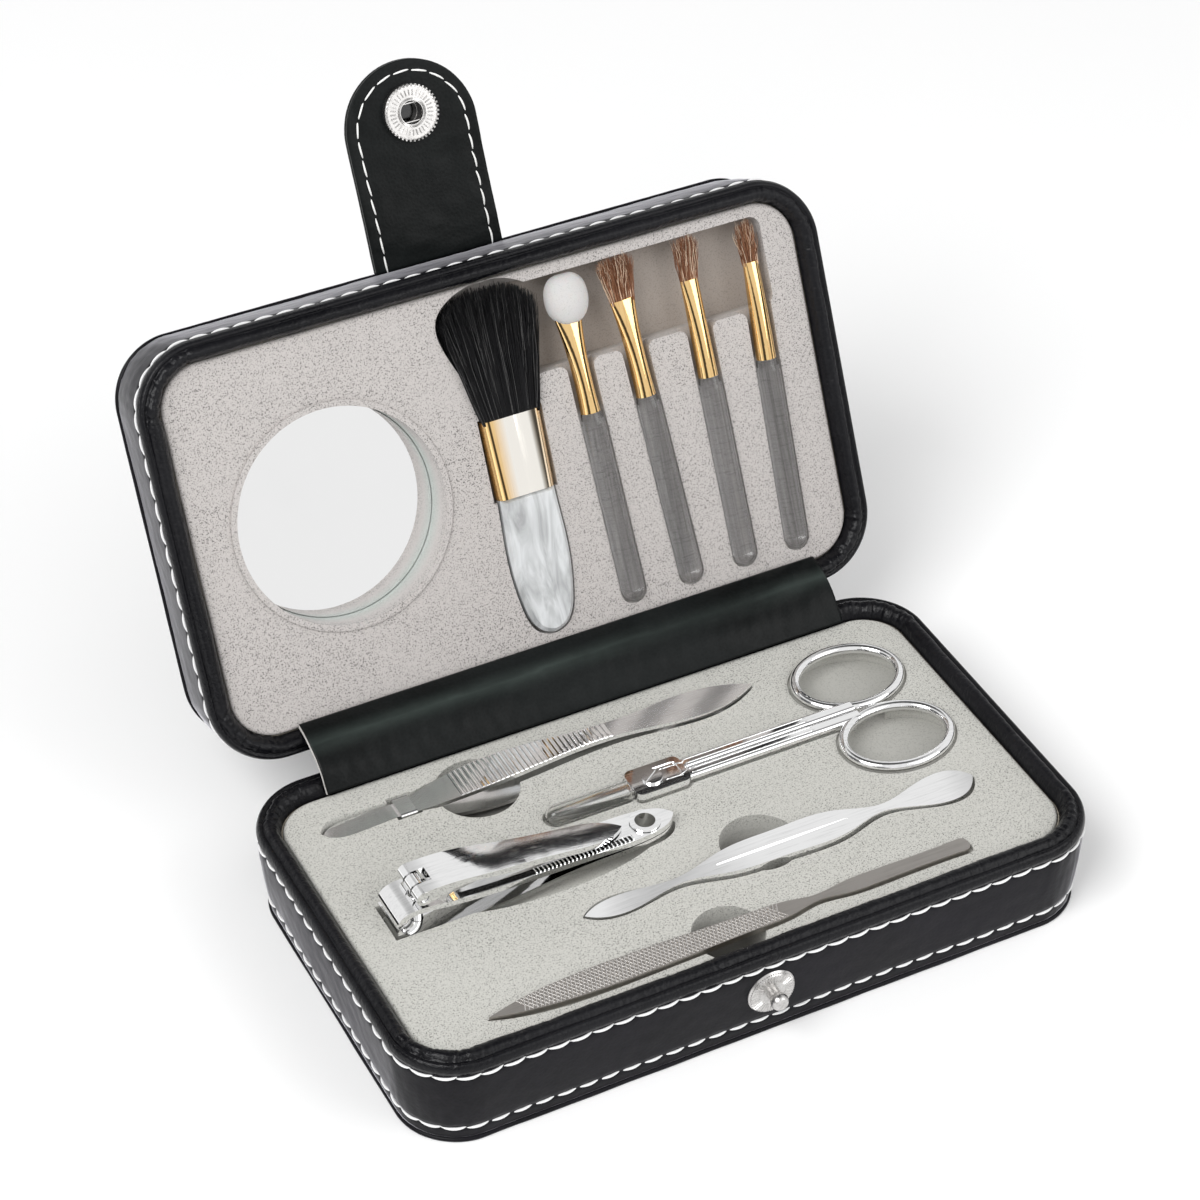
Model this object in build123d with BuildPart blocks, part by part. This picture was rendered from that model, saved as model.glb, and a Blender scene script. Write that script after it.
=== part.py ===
from build123d import *
import os
from math import cos, radians, sin, sqrt, tan

os.makedirs("parts", exist_ok=True)

# Manicure set case, open at its resting angle. Millimetres, +Z up, the hinge along +X at the back (+Y).
# The origin is the centre of the base's underside. A "deck" is the flocked surface of a tray: the
# base deck is level and the lid deck leans back, and each tray is drawn on its own deck plane.

# ---------------------------------------------------------------- case
case_length = 155.8
case_depth = 90.0
corner_radius = 14.6
deck_height = 20.6
lid_thickness = 19.0
wall_draft = 4.5
rim_width = 5.0
rim_crown = 2.5
rim_skirt = 0.7
rim_round_share = 0.47
crease_width = 0.6
cover_thickness = 1.0
panel_thickness = 1.0
panel_lip = 0.4
former_wall = 2.0
former_floor = 1.4
insert_gap = 0.15
base_rim_depth = 5.8
lid_rim_depth = 4.8
insert_lip_round = 0.8

# ---------------------------------------------------------------- hinge
hinge_behind_rim = 2.1
closed_deck_gap = 5.5
lid_lean = 65.0
strip_thickness = 1.1
strip_from_left = 17.9
strip_from_right = 15.1
strip_bulge = 2.0
strip_gap = 0.3

# ---------------------------------------------------------------- snap and tab
snap_x = -1.2
stud_below_deck = 8.3
stud_diameter = 10.5
stud_thickness = 1.4
stud_seat_depth = 0.2
neck_diameter = 2.8
ball_diameter = 3.8
ball_height = 2.4
neck_length = 1.3
rivet_diameter = 2.4
rivet_plate_diameter = 8.0
rivet_plate_thickness = 0.8
tab_width = 29.3
tab_layer = 1.0
tab_fold_out = 1.15
tab_fold_up = 3.65
tab_drop = 1.85
tab_start_gap = 0.3
tab_tip_margin = 11.0
socket_diameter = 11.9
socket_face = 1.5
socket_lip = 0.4
socket_edge_round = 0.5
socket_hole_diameter = 5.0
socket_groove_diameter = 8.6
socket_groove_height = 0.8
socket_barrel_diameter = 9.6
cap_diameter = 12.4
cap_height = 1.2
snap_wire = 0.5
snap_wire_spacing = 3.9

# ---------------------------------------------------------------- pockets
pocket_clearance = 0.5
pocket_floor_gap = 0.3
tool_fit = 0.1
pin_fit = 0.03
tweezers_notch_radius = 9.0
pusher_notch_radius = 8.3
file_notch_radius = 7.5
tweezers_notch_shift = 2.0
pusher_notch_shift = 3.2
notch_depth = 7.0
notch_round = 3.0

# ---------------------------------------------------------------- tweezers
tweezers_from_left = 12.8
tweezers_from_right = 43.2
tweezers_from_back = 10.2
tweezers_width = 8.2
tweezers_arm = 0.9
tweezers_bow = 5.4
tweezers_tip_gap = 3.6
tweezers_top = 1.9
collar_length = 3.6
collar_wall = 0.7
spade_length = 16.4
spade_width = 5.2

# ---------------------------------------------------------------- scissors
scissors_y = 11.4
scissors_middle = 0.6
blade_thickness = 1.4
blade_length = 23.5
blade_width = 3.0
cutting_thickness = 1.0
boss_length = 12.6
boss_width = 8.0
boss_shift = 1.3
boss_corner = 1.6
boss_panel_length = 5.6
boss_panel_width = 5.2
boss_panel_depth = 0.25
shank_width = 2.8
shank_gap = 0.3
ring_from_right = 23.7
pivot_to_ring = 52.7
ring_half_length = 11.8
ring_half_width = 9.2
ring_wire = 2.2
ring_depth = 4.4
screw_diameter = 3.0
screw_head_diameter = 4.4
screw_head = 0.5
screw_slot_width = 0.6
screw_slot_depth = 0.25
screw_slot_angle = 35
guard_diameter = 4.6
guard_wall = 0.4
guard_tip_gap = 0.6
guard_length = 19.0

# ---------------------------------------------------------------- clipper
clipper_from_left = 13.9
clipper_y = -0.8
clipper_length = 64.0
clipper_width = 9.6
clipper_strip = 1.3
jaw_gap = 1.4
jaw_height = 2.2
lower_bow = 2.5
rear_top = 3.0
post_x = 6.2
post_diameter = 2.6
post_head = 0.8
post_head_overhang = 1.2
post_eye_wall = 0.8
pin_height = 7.9
pin_diameter = 1.8
pin_end_gap = 0.3
ear_diameter = 3.4
lever_from_rear = 11.8
lever_width = 9.4
lever_fork_room = 1.1
lever_side_room = 0.6
eyelet_from_rear = 6.5
eyelet_hole = 4.3
eyelet_diameter = 6.5
eyelet_flange = 0.4

# ---------------------------------------------------------------- cuticle pusher and nail file
pusher_from_right = 16.3
pusher_y = -17.2
pusher_length = 90.1
pusher_width = 8.4
pusher_crown = 1.5
pusher_belly = 1.7
pusher_groove_width = 0.6
pusher_groove_depth = 0.3
file_middle_x = -3.65
file_from_front = 5.2
file_length = 107.9
file_width = 6.2
file_thickness = 1.3
file_top = 0.8
file_end_round = 1.4

# ---------------------------------------------------------------- mirror
mirror_from_left = 37.6
mirror_v = 0.8
mirror_recess_diameter = 46.0
mirror_depth = 8.0
mirror_glass_thickness = 1.2
mirror_backing_thickness = 0.8
mirror_rim_gap = 0.2
mirror_lip_width = 1.3
mirror_lip_height = 0.5

# ---------------------------------------------------------------- lid tools
blush_x = 0.3
blush_tail_margin = 3.0
blush_tip_margin = 0.8
blush_handle_width = 13.6
blush_thickness = 4.0
blush_top = 1.3
blush_bevel = 0.9
blush_ferrule_length = 17.2
blush_ferrule_width = 13.9
blush_ferrule_thickness = 4.8
blush_ferrule_taper = 0.6
blush_hair_length = 28.2
blush_hair_width = 24.0
blush_hair_thickness = 6.0
applicator_tail_margin = 3.8
applicator_tip_margin = 2.6
handle_diameter = 5.2
handle_neck = 2.5
handle_centre = -0.4
ferrule_diameter = 4.4
ferrule_length = 21.5
ferrule_crimp = 2.0
sponge_crimp = 6.3
sponge_length = 9.5
sponge_width = 9.5
sponge_thickness = 6.6
sponge_lean = -2.0
bristle_length = 9.0
smudge_crimp = 5.8
smudge_root_width = 5.6
smudge_tip_width = 9.0
smudge_thickness = 3.0
smudge_share = 0.35
smudge_lean = -3.0
shader_crimp = 4.2
shader_root_width = 4.0
shader_tip_width = 6.4
shader_thickness = 2.6
shader_share = 0.68
shader_lean = -0.5
liner_crimp = 3.6
liner_root_width = 3.4
liner_tip_width = 3.9
liner_thickness = 2.2
liner_lean = 1.4
sponge_from_blush = 19.7
liner_from_right = 17.9
head_pocket_from_right = 12.7
head_pocket_from_top = 2.6
head_pocket_height = 19.8
head_pocket_depth = 6.0
head_pocket_round = 2.6
fin_round = 1.8


# ---------------------------------------------------------------- planes
half_depth = case_depth / 2
half_length = case_length / 2
base_insert_depth = case_depth - 2 * base_rim_depth
lid_insert_depth = case_depth - 2 * lid_rim_depth
rim_round = rim_round_share * min(rim_width, lid_rim_depth - insert_gap)
tab_fold_v = half_depth + tab_fold_out
tab_fold_h = tab_fold_up - lid_thickness
tab_top = tab_fold_h - tab_drop
socket_v = tab_fold_v - tab_fold_h + closed_deck_gap + stud_below_deck
hinge_y = half_depth + hinge_behind_rim
hinge_h = closed_deck_gap / 2
lean_y = cos(radians(lid_lean))
lean_z = sin(radians(lid_lean))
lid_y = hinge_y + hinge_y * lean_y + hinge_h * lean_z
lid_z = deck_height + hinge_h + hinge_y * lean_z - hinge_h * lean_y

base_deck = Plane(origin=(0, 0, deck_height))
lid_deck = Plane(origin=(0, lid_y, lid_z), x_dir=(1, 0, 0), z_dir=(0, -lean_z, lean_y))


def on(plane, x, y, z=0, x_dir=(1, 0, 0), z_dir=(0, 0, 1)):
    """Plane whose origin and directions are given in another plane's own coordinates."""
    turned = Plane(origin=(x, y, z), x_dir=x_dir, z_dir=z_dir)
    return Plane(plane.location * turned.location)


def side_of(plane, x=0, y=0):
    """Upright plane through (x, y) of a deck: its X runs along the deck's X and its Y points up."""
    return on(plane, x, y, z_dir=(0, -1, 0))


def across(plane, x, z=0):
    """Cross-section plane at x: it looks along the plane's own X, its X runs along Y."""
    return on(plane, x, 0, z, x_dir=(0, 1, 0), z_dir=(1, 0, 0))


def save(piece, name):
    """Labels a finished piece and writes its STEP file."""
    piece.label = name
    export_step(piece, f"parts/{name}.step")


# ---------------------------------------------------------------- outlines
def leaf_outline(length, width, stations, end_round=0):
    """Outline symmetric about X from x = 0 to length.

    stations holds (share of the length, share of the width). A blunt end may have rounded corners.
    """
    points = [(length * along, width * share / 2) for along, share in stations]
    with BuildSketch() as outline:
        with BuildLine() as half:
            Spline(*points)
            if points[-1][1] > 0:
                Line(points[-1], (points[-1][0], 0))
            if points[0][1] > 0:
                Line((points[0][0], 0), points[0])
            mirror(half.line, about=Plane.XZ)
        make_face()
        if end_round:
            fillet(outline.vertices().group_by(Axis.X)[-1], end_round)
    return outline.sketch


def leaf_pocket(length, width, stations, end_round=0):
    """Pocket outline round a leaf_outline piece, with the pocket clearance all round."""
    room = 2 * pocket_clearance
    eased = [(along, (share * width + room) / (width + room) if share else 0) for along, share in stations]
    with BuildSketch() as outline:
        with Locations((-pocket_clearance, 0)):
            add(leaf_outline(length + room, width + room, eased, end_round))
    return outline.sketch


def spread(length, profile, start=0):
    """Side profile in millimetres from points whose X is a share of a length."""
    return [(start + length * share, z) for share, z in profile]


def side_outline(upper, lower):
    """Closed (x, z) side profile between an upper and a lower smooth edge."""
    with BuildSketch() as outline:
        with BuildLine():
            Spline(*upper)
            Line(upper[-1], lower[-1])
            Spline(*lower)
            Line(lower[0], upper[0])
        make_face()
    return outline.sketch


def shaped(plane, plan, profile, width):
    """Solid that has a plan outline from above and a side profile from the front."""
    reach = width + 2 * max(abs(profile.bounding_box().min.Y), abs(profile.bounding_box().max.Y))
    with BuildPart() as solid:
        with BuildSketch(side_of(plane)):
            add(profile)
        extrude(amount=width, both=True)
        with BuildSketch(plane.offset(-reach)):
            add(plan)
        extrude(amount=2 * reach, mode=Mode.INTERSECT)
    return solid.part


def bent_strip(edge, thickness):
    """Side profile of a strip below a smooth upper edge, one thickness down."""
    lowered = [(x, z - thickness) for x, z in edge]
    return side_outline(edge, lowered)


# ---------------------------------------------------------------- one half of the case
def wall_offset(h):
    """How far the drafted wall has leaned in at height h of a deck."""
    return (-h - rim_skirt) * tan(radians(wall_draft))


def tapered_body(deck, inset, height):
    """Solid of the drafted case outline, from the rim's lower edge down."""
    down = on(deck, 0, 0, -rim_skirt, z_dir=(0, 0, -1))
    with BuildPart() as body:
        with BuildSketch(down):
            RectangleRounded(case_length - 2 * inset, case_depth - 2 * inset, corner_radius - inset)
        extrude(amount=height, taper=wall_draft)
    return body.part


def case_half(deck, thickness, insert_depth):
    """The five pieces that make one tray of the case round its insert."""
    wall_height = thickness - rim_skirt - panel_thickness
    opening_length = case_length - 2 * rim_width
    opening_depth = insert_depth + 2 * insert_gap
    opening_radius = corner_radius - rim_width
    former_length = opening_length + 2 * former_wall
    former_depth = opening_depth + 2 * former_wall
    floor = panel_thickness - thickness
    panel_inset = wall_offset(floor) - panel_lip

    with BuildPart() as former:
        with BuildSketch(deck.offset(floor)):
            RectangleRounded(former_length, former_depth, opening_radius + former_wall)
        extrude(amount=wall_height)
        with BuildSketch(deck.offset(floor + former_floor)):
            RectangleRounded(opening_length, opening_depth, opening_radius)
        extrude(amount=wall_height, mode=Mode.SUBTRACT)

    with BuildPart() as padding:
        add(tapered_body(deck, cover_thickness, wall_height))
        with BuildSketch(deck.offset(-thickness)):
            RectangleRounded(former_length, former_depth, opening_radius + former_wall)
        extrude(amount=2 * thickness, mode=Mode.SUBTRACT)

    with BuildPart() as cover:
        add(tapered_body(deck, 0, wall_height))
        add(tapered_body(deck, cover_thickness, wall_height), mode=Mode.SUBTRACT)

    with BuildPart() as panel:
        with BuildSketch(deck.offset(-thickness)):
            RectangleRounded(
                case_length - 2 * panel_inset, case_depth - 2 * panel_inset, corner_radius - panel_inset
            )
        extrude(amount=panel_thickness)
        rounded = panel.edges().group_by(Axis(deck.origin, deck.z_dir))[0]
        fillet(rounded, panel_lip)

    with BuildPart() as rim:
        with BuildSketch(deck.offset(-rim_skirt)):
            RectangleRounded(case_length, case_depth, corner_radius)
            RectangleRounded(opening_length, opening_depth, opening_radius, mode=Mode.SUBTRACT)
        extrude(amount=rim_skirt + rim_crown)
        crown_edges = rim.edges().group_by(Axis(deck.origin, deck.z_dir))[-1]
        fillet(crown_edges, rim_round)
        crease_inset = (case_depth - opening_depth) / 4
        with BuildSketch(deck.offset(rim_crown)):
            RectangleRounded(
                case_length - 2 * crease_inset, case_depth - 2 * crease_inset, corner_radius - crease_inset
            )
            offset(amount=-crease_width, mode=Mode.SUBTRACT)
        extrude(amount=-crease_width, mode=Mode.SUBTRACT)

    return former.part, padding.part, cover.part, panel.part, rim.part


def insert_block(deck, thickness, insert_depth):
    """Flocked block of one tray, before its pockets are cut."""
    block_height = thickness - panel_thickness - former_floor
    block_length = case_length - 2 * (rim_width + insert_gap)
    with BuildPart() as block:
        with BuildSketch(deck):
            RectangleRounded(block_length, insert_depth, corner_radius - rim_width - insert_gap)
        extrude(amount=-block_height)
        lip = block.edges().group_by(Axis(deck.origin, deck.z_dir))[-1]
        fillet(lip, insert_lip_round)
    return block.part


base_former, base_padding, base_cover, base_panel, base_rim = case_half(
    base_deck, deck_height, base_insert_depth
)
lid_former, lid_padding, lid_cover, lid_panel, lid_rim = case_half(
    lid_deck, lid_thickness, lid_insert_depth
)

save(base_panel, "base_bottom_panel")
save(base_rim, "base_rim_roll")
save(lid_former, "lid_former")
save(lid_padding, "lid_wall_padding")
save(lid_cover, "lid_wall_cover")
save(lid_panel, "lid_cover_panel")
save(lid_rim, "lid_rim_roll")

# The press stud stands on a flat seat pressed into the front wall, so it points straight forward.
stud_seat = half_depth - wall_offset(-stud_below_deck) - stud_seat_depth
former_front = base_insert_depth / 2 + insert_gap + former_wall
stud_plane = on(base_deck, snap_x, -stud_seat, -stud_below_deck, z_dir=(0, -1, 0))
rivet_length = stud_seat - (former_front - former_wall)

with BuildPart() as base_wall_cover:
    add(base_cover)
    with BuildSketch(stud_plane):
        Circle(stud_diameter / 2 + tool_fit)
    extrude(amount=cover_thickness, mode=Mode.SUBTRACT)
    with BuildSketch(stud_plane):
        Circle(rivet_diameter / 2 + tool_fit)
    extrude(amount=-rivet_length, mode=Mode.SUBTRACT)
save(base_wall_cover.part, "base_wall_cover")

with BuildPart() as base_wall_padding:
    add(base_padding)
    with BuildSketch(stud_plane):
        Circle(rivet_diameter / 2 + tool_fit)
    extrude(amount=-rivet_length, mode=Mode.SUBTRACT)
save(base_wall_padding.part, "base_wall_padding")

with BuildPart() as base_former_drilled:
    add(base_former)
    with BuildSketch(stud_plane):
        Circle(rivet_diameter / 2 + tool_fit)
    extrude(amount=-rivet_length, mode=Mode.SUBTRACT)
save(base_former_drilled.part, "base_former")

# ---------------------------------------------------------------- press stud on the base
ball_start = stud_thickness + neck_length

with BuildPart() as snap_stud:
    with BuildSketch(side_of(stud_plane, 0, 0)):
        with BuildLine():
            Polyline(
                (0, 0),
                (stud_diameter / 2, 0),
                (stud_diameter / 2, stud_thickness * 0.5),
                (stud_diameter / 2 - stud_thickness * 0.5, stud_thickness),
                (neck_diameter / 2, stud_thickness),
                (neck_diameter / 2, ball_start),
            )
            ThreePointArc(
                (neck_diameter / 2, ball_start),
                (ball_diameter / 2, ball_start + ball_height / 2),
                (neck_diameter / 2, ball_start + ball_height),
            )
            Line((neck_diameter / 2, ball_start + ball_height), (0, ball_start + ball_height))
            Line((0, ball_start + ball_height), (0, 0))
        make_face()
    revolve(axis=Axis(stud_plane.origin, stud_plane.z_dir))
save(snap_stud.part, "snap_stud")

with BuildPart() as snap_stud_rivet:
    with BuildSketch(stud_plane):
        Circle(rivet_diameter / 2)
    extrude(amount=-rivet_length)
    with BuildSketch(stud_plane.offset(-rivet_length)):
        Circle(rivet_plate_diameter / 2)
    extrude(amount=-rivet_plate_thickness)
save(snap_stud_rivet.part, "snap_stud_rivet")

# ---------------------------------------------------------------- hinge strip
strip_plane = across(base_deck, strip_from_left - half_length)
strip_start = (base_insert_depth / 2 - insert_lip_round, strip_gap + strip_thickness / 2)
strip_end_v = -lid_insert_depth / 2 + insert_lip_round
strip_end_h = strip_gap + strip_thickness / 2
strip_end = (
    lid_y + strip_end_v * lean_y - strip_end_h * lean_z,
    lid_z - deck_height + strip_end_v * lean_z + strip_end_h * lean_y,
)
chord_y = strip_end[0] - strip_start[0]
chord_z = strip_end[1] - strip_start[1]
chord = sqrt(chord_y**2 + chord_z**2)
strip_middle = (
    (strip_start[0] + strip_end[0]) / 2 - strip_bulge * chord_z / chord,
    (strip_start[1] + strip_end[1]) / 2 + strip_bulge * chord_y / chord,
)

with BuildPart() as hinge_strip:
    with BuildSketch(strip_plane):
        with BuildLine():
            ThreePointArc(strip_start, strip_middle, strip_end)
        trace(line_width=strip_thickness)
    extrude(amount=case_length - strip_from_left - strip_from_right)
save(hinge_strip.part, "hinge_strip")

# ---------------------------------------------------------------- closing tab
# The tab hangs straight on from the lid's outer panel and folds over the front wall when the case is shut.
anchor_end_v = half_depth
tab_start_v = anchor_end_v + tab_start_gap
tab_middle_v = socket_v + tab_tip_margin - tab_width / 2
tab_plane = on(lid_deck, snap_x, 0, tab_top)
anchor_start_v = half_depth - wall_offset(panel_thickness - lid_thickness) + panel_lip

with BuildPart() as tab_anchor:
    with BuildSketch(tab_plane):
        with Locations((0, (anchor_start_v + anchor_end_v) / 2)):
            Rectangle(tab_width, anchor_end_v - anchor_start_v)
    extrude(amount=-2 * tab_layer)
save(tab_anchor.part, "tab_anchor")


def tab_leather(plane, hole_diameter):
    """One leather layer of the tab, with the hole that its snap passes through."""
    with BuildPart() as layer:
        with BuildSketch(plane):
            with Locations((0, (tab_start_v + tab_middle_v) / 2)):
                Rectangle(tab_width, tab_middle_v - tab_start_v)
            with Locations((0, tab_middle_v)):
                Circle(tab_width / 2)
            with Locations((0, socket_v)):
                Circle(hole_diameter / 2, mode=Mode.SUBTRACT)
        extrude(amount=-tab_layer)
    return layer.part


save(tab_leather(tab_plane, socket_barrel_diameter + 2 * tool_fit), "tab_lining")
save(tab_leather(tab_plane.offset(-tab_layer), socket_barrel_diameter + 2 * tool_fit), "tab_outer")

# The socket is a barrel through both layers with a flange on the lining; a hairpin spring in its
# groove grips the stud behind the ball, and the cap closes it from outside.
socket_plane = on(tab_plane, 0, socket_v)
socket_groove_top = socket_face - socket_lip

with BuildPart() as snap_socket:
    with BuildSketch(socket_plane):
        Circle(socket_diameter / 2)
    extrude(amount=socket_face)
    socket_edges = snap_socket.edges().group_by(Axis(socket_plane.origin, socket_plane.z_dir))[-1]
    fillet(socket_edges, socket_edge_round)
    with BuildSketch(socket_plane):
        Circle(socket_barrel_diameter / 2)
    extrude(amount=-2 * tab_layer)
    with BuildSketch(socket_plane.offset(-2 * tab_layer)):
        Circle(socket_hole_diameter / 2)
    extrude(amount=2 * tab_layer + socket_face, mode=Mode.SUBTRACT)
    with BuildSketch(socket_plane.offset(socket_groove_top)):
        Circle(socket_groove_diameter / 2)
    extrude(amount=-socket_groove_height, mode=Mode.SUBTRACT)
save(snap_socket.part, "snap_socket")

spring_plane = socket_plane.offset(socket_groove_top - socket_groove_height / 2)
spring_reach = sqrt((socket_groove_diameter / 2 - snap_wire) ** 2 - (snap_wire_spacing / 2) ** 2)
spring_bend_x = socket_groove_diameter / 2 - snap_wire - snap_wire_spacing / 2

with BuildPart() as snap_spring:
    with BuildLine(spring_plane) as spring_path:
        Line((-spring_reach, snap_wire_spacing / 2), (spring_bend_x, snap_wire_spacing / 2))
        ThreePointArc(
            (spring_bend_x, snap_wire_spacing / 2),
            (spring_bend_x + snap_wire_spacing / 2, 0),
            (spring_bend_x, -snap_wire_spacing / 2),
        )
        Line((spring_bend_x, -snap_wire_spacing / 2), (-spring_reach, -snap_wire_spacing / 2))
    with BuildSketch(across(on(spring_plane, 0, snap_wire_spacing / 2), -spring_reach)):
        Circle(snap_wire / 2)
    sweep()
save(snap_spring.part, "snap_spring")

with BuildPart() as snap_cap:
    with BuildSketch(socket_plane.offset(-2 * tab_layer)):
        Circle(cap_diameter / 2)
    extrude(amount=-cap_height)
    cap_edges = snap_cap.edges().group_by(Axis(socket_plane.origin, socket_plane.z_dir))[0]
    fillet(cap_edges, cap_height * 0.7)
save(snap_cap.part, "snap_cap")

# ---------------------------------------------------------------- tweezers
tweezers_length = case_length - tweezers_from_left - tweezers_from_right
tweezers_left = tweezers_from_left - half_length
tweezers_y = base_insert_depth / 2 - tweezers_from_back
tweezers_arm_length = tweezers_length - spade_length - collar_length
tweezers_middle = tweezers_top - tweezers_arm - tweezers_bow / 2
tweezers_plane = on(base_deck, tweezers_left + spade_length + collar_length, tweezers_y, tweezers_middle)
arm_stations = [(0, 0.56), (0.24, 1), (0.62, 0.6), (0.87, 0.9), (1, 0)]
arm_plan = leaf_outline(tweezers_arm_length, tweezers_width, arm_stations)
arm_root_gap = 0.6
arm_edge = [
    (0.3, arm_root_gap / 2 + tweezers_arm),
    (0.24 * tweezers_arm_length, tweezers_bow / 2 + tweezers_arm),
    (0.62 * tweezers_arm_length, tweezers_bow * 0.45 + tweezers_arm),
    (tweezers_arm_length, tweezers_tip_gap / 2 + tweezers_arm),
]
upper_arm = shaped(tweezers_plane, arm_plan, bent_strip(arm_edge, tweezers_arm), tweezers_width)
save(upper_arm, "tweezers_arm_upper")

with BuildPart() as tweezers_arm_lower:
    add(mirror(upper_arm, about=tweezers_plane, mode=Mode.PRIVATE))
save(tweezers_arm_lower.part, "tweezers_arm_lower")

collar_height = arm_root_gap + 2 * tweezers_arm + 2 * collar_wall
collar_width = 0.56 * tweezers_width + 2 * collar_wall
with BuildPart() as tweezers_collar:
    with BuildSketch(across(tweezers_plane, 0)):
        RectangleRounded(collar_width, collar_height, collar_wall)
    extrude(amount=-collar_length)
save(tweezers_collar.part, "tweezers_collar")

spade_plane = on(tweezers_plane, -collar_length - spade_length, 0)
spade_stations = [(0, 0), (0.12, 0.7), (0.45, 1), (0.8, 0.85), (1, 0.8)]
spade_plan = leaf_outline(spade_length, spade_width, spade_stations)
spade_side = side_outline(
    spread(spade_length, [(0, 0.9), (0.35, 0.6), (0.7, 1.1), (1, 1.2)]),
    spread(spade_length, [(0, 0.3), (0.35, -0.2), (0.7, -0.8), (1, -1.2)]),
)
save(shaped(spade_plane, spade_plan, spade_side, spade_width), "tweezers_spade")

# ---------------------------------------------------------------- nail scissors
ring_centre_x = half_length - ring_from_right
scissors_pivot_x = ring_centre_x - pivot_to_ring
scissors_plane = on(base_deck, scissors_pivot_x, scissors_y, scissors_middle)
ring_y = ring_half_width + ring_wire / 2 + shank_gap / 2
boss_end = boss_shift + boss_length / 2
shank_start = boss_end - 2 * shank_width
shank_reach = pivot_to_ring - ring_half_length * 0.35 - shank_start


def scissor_half(side, up):
    """Blade, boss, shank and finger ring of one scissor half.

    side is +1 for the ring at the back and -1 for the front; up is +1 for the half that lies on top.
    """
    with BuildPart() as half:
        with BuildSketch(scissors_plane):
            with Locations((boss_shift, 0)):
                RectangleRounded(boss_length, boss_width, boss_corner)
        extrude(amount=up * blade_thickness)
        with BuildSketch(scissors_plane.offset(up * blade_thickness)):
            with Locations((boss_end - boss_width / 2, 0)):
                RectangleRounded(boss_panel_length, boss_panel_width, boss_corner / 2)
        extrude(amount=-up * boss_panel_depth, mode=Mode.SUBTRACT)
        with BuildSketch(scissors_plane):
            with BuildLine():
                Line((0, -blade_width / 2), (0, blade_width / 2))
                Spline(
                    (0, blade_width / 2), (-blade_length * 0.6, blade_width * 0.38), (-blade_length, 0)
                )
                Spline(
                    (-blade_length, 0), (-blade_length * 0.6, -blade_width * 0.38), (0, -blade_width / 2)
                )
            make_face()
        extrude(amount=up * cutting_thickness)
        with BuildSketch(across(scissors_plane, shank_start)):
            with Locations((side * (shank_width + shank_gap) / 2, 0)):
                RectangleRounded(shank_width, ring_wire, ring_wire * 0.3)
        extrude(amount=shank_reach)
        with BuildSketch(scissors_plane.offset(-up * ring_wire)):
            with Locations((boss_shift, 0)):
                RectangleRounded(boss_length + 2 * tool_fit, boss_width + 2 * tool_fit, boss_corner)
        extrude(amount=up * ring_wire, mode=Mode.SUBTRACT)
        with BuildSketch(scissors_plane):
            Circle(screw_diameter / 2 + tool_fit)
        extrude(amount=up * blade_thickness, mode=Mode.SUBTRACT)
        with BuildLine(scissors_plane):
            for start in (0, 180):
                EllipticalCenterArc(
                    (pivot_to_ring, side * ring_y),
                    ring_half_length,
                    ring_half_width,
                    start_angle=start,
                    arc_size=180,
                )
        ring_end = pivot_to_ring + ring_half_length
        with BuildSketch(on(scissors_plane, ring_end, side * ring_y, z_dir=(0, 1, 0))):
            Circle(ring_wire / 2)
        sweep()
    return half.part


save(scissor_half(1, 1), "scissors_blade_upper")
save(scissor_half(-1, -1), "scissors_blade_lower")

with BuildPart() as scissors_screw:
    with BuildSketch(scissors_plane.offset(-blade_thickness)):
        Circle(screw_diameter / 2)
    extrude(amount=2 * blade_thickness)
    with BuildSketch(scissors_plane.offset(blade_thickness)):
        Circle(screw_head_diameter / 2)
    extrude(amount=screw_head)
    with BuildSketch(scissors_plane.offset(blade_thickness + screw_head)):
        Rectangle(2 * screw_head_diameter, screw_slot_width, rotation=screw_slot_angle)
    extrude(amount=-screw_slot_depth, mode=Mode.SUBTRACT)
save(scissors_screw.part, "scissors_screw")

guard_start = -blade_length - guard_wall - guard_tip_gap
guard_end = guard_start + guard_length


def guard_profile(radius, start):
    """Half section of a round tube with a domed tip, from its tip to the guard's open end."""
    with BuildSketch() as profile:
        with BuildLine():
            Line((start, 0), (guard_end, 0))
            Line((guard_end, 0), (guard_end, radius))
            Line((guard_end, radius), (start + radius, radius))
            CenterArc((start + radius, 0), radius, 90, 90)
        make_face()
    return profile.sketch


with BuildPart() as scissors_guard:
    with BuildSketch(scissors_plane):
        add(guard_profile(guard_diameter / 2, guard_start))
        add(guard_profile(guard_diameter / 2 - guard_wall, guard_start + guard_wall), mode=Mode.SUBTRACT)
    revolve(axis=Axis(scissors_plane.origin, scissors_plane.x_dir))
save(scissors_guard.part, "scissors_guard")

# ---------------------------------------------------------------- nail clipper
# Drawn from its cutting edge backwards. The arms are sprung strips that meet at the eyelet; the post
# rises through both and carries the lever on a cross pin.
clipper_front = clipper_from_left - half_length
clipper_plane = on(base_deck, clipper_front, clipper_y)
jaw_upper = jaw_height + jaw_gap / 2
jaw_lower = jaw_height - jaw_gap / 2
eyelet_x = clipper_length - eyelet_from_rear
rear_seam = rear_top - clipper_strip
clipper_stations = [(0, 1), (0.35, 0.97), (0.7, 0.84), (0.9, 0.76), (0.965, 0.5), (1, 0)]
clipper_plan = leaf_outline(clipper_length, clipper_width, clipper_stations)

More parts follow.
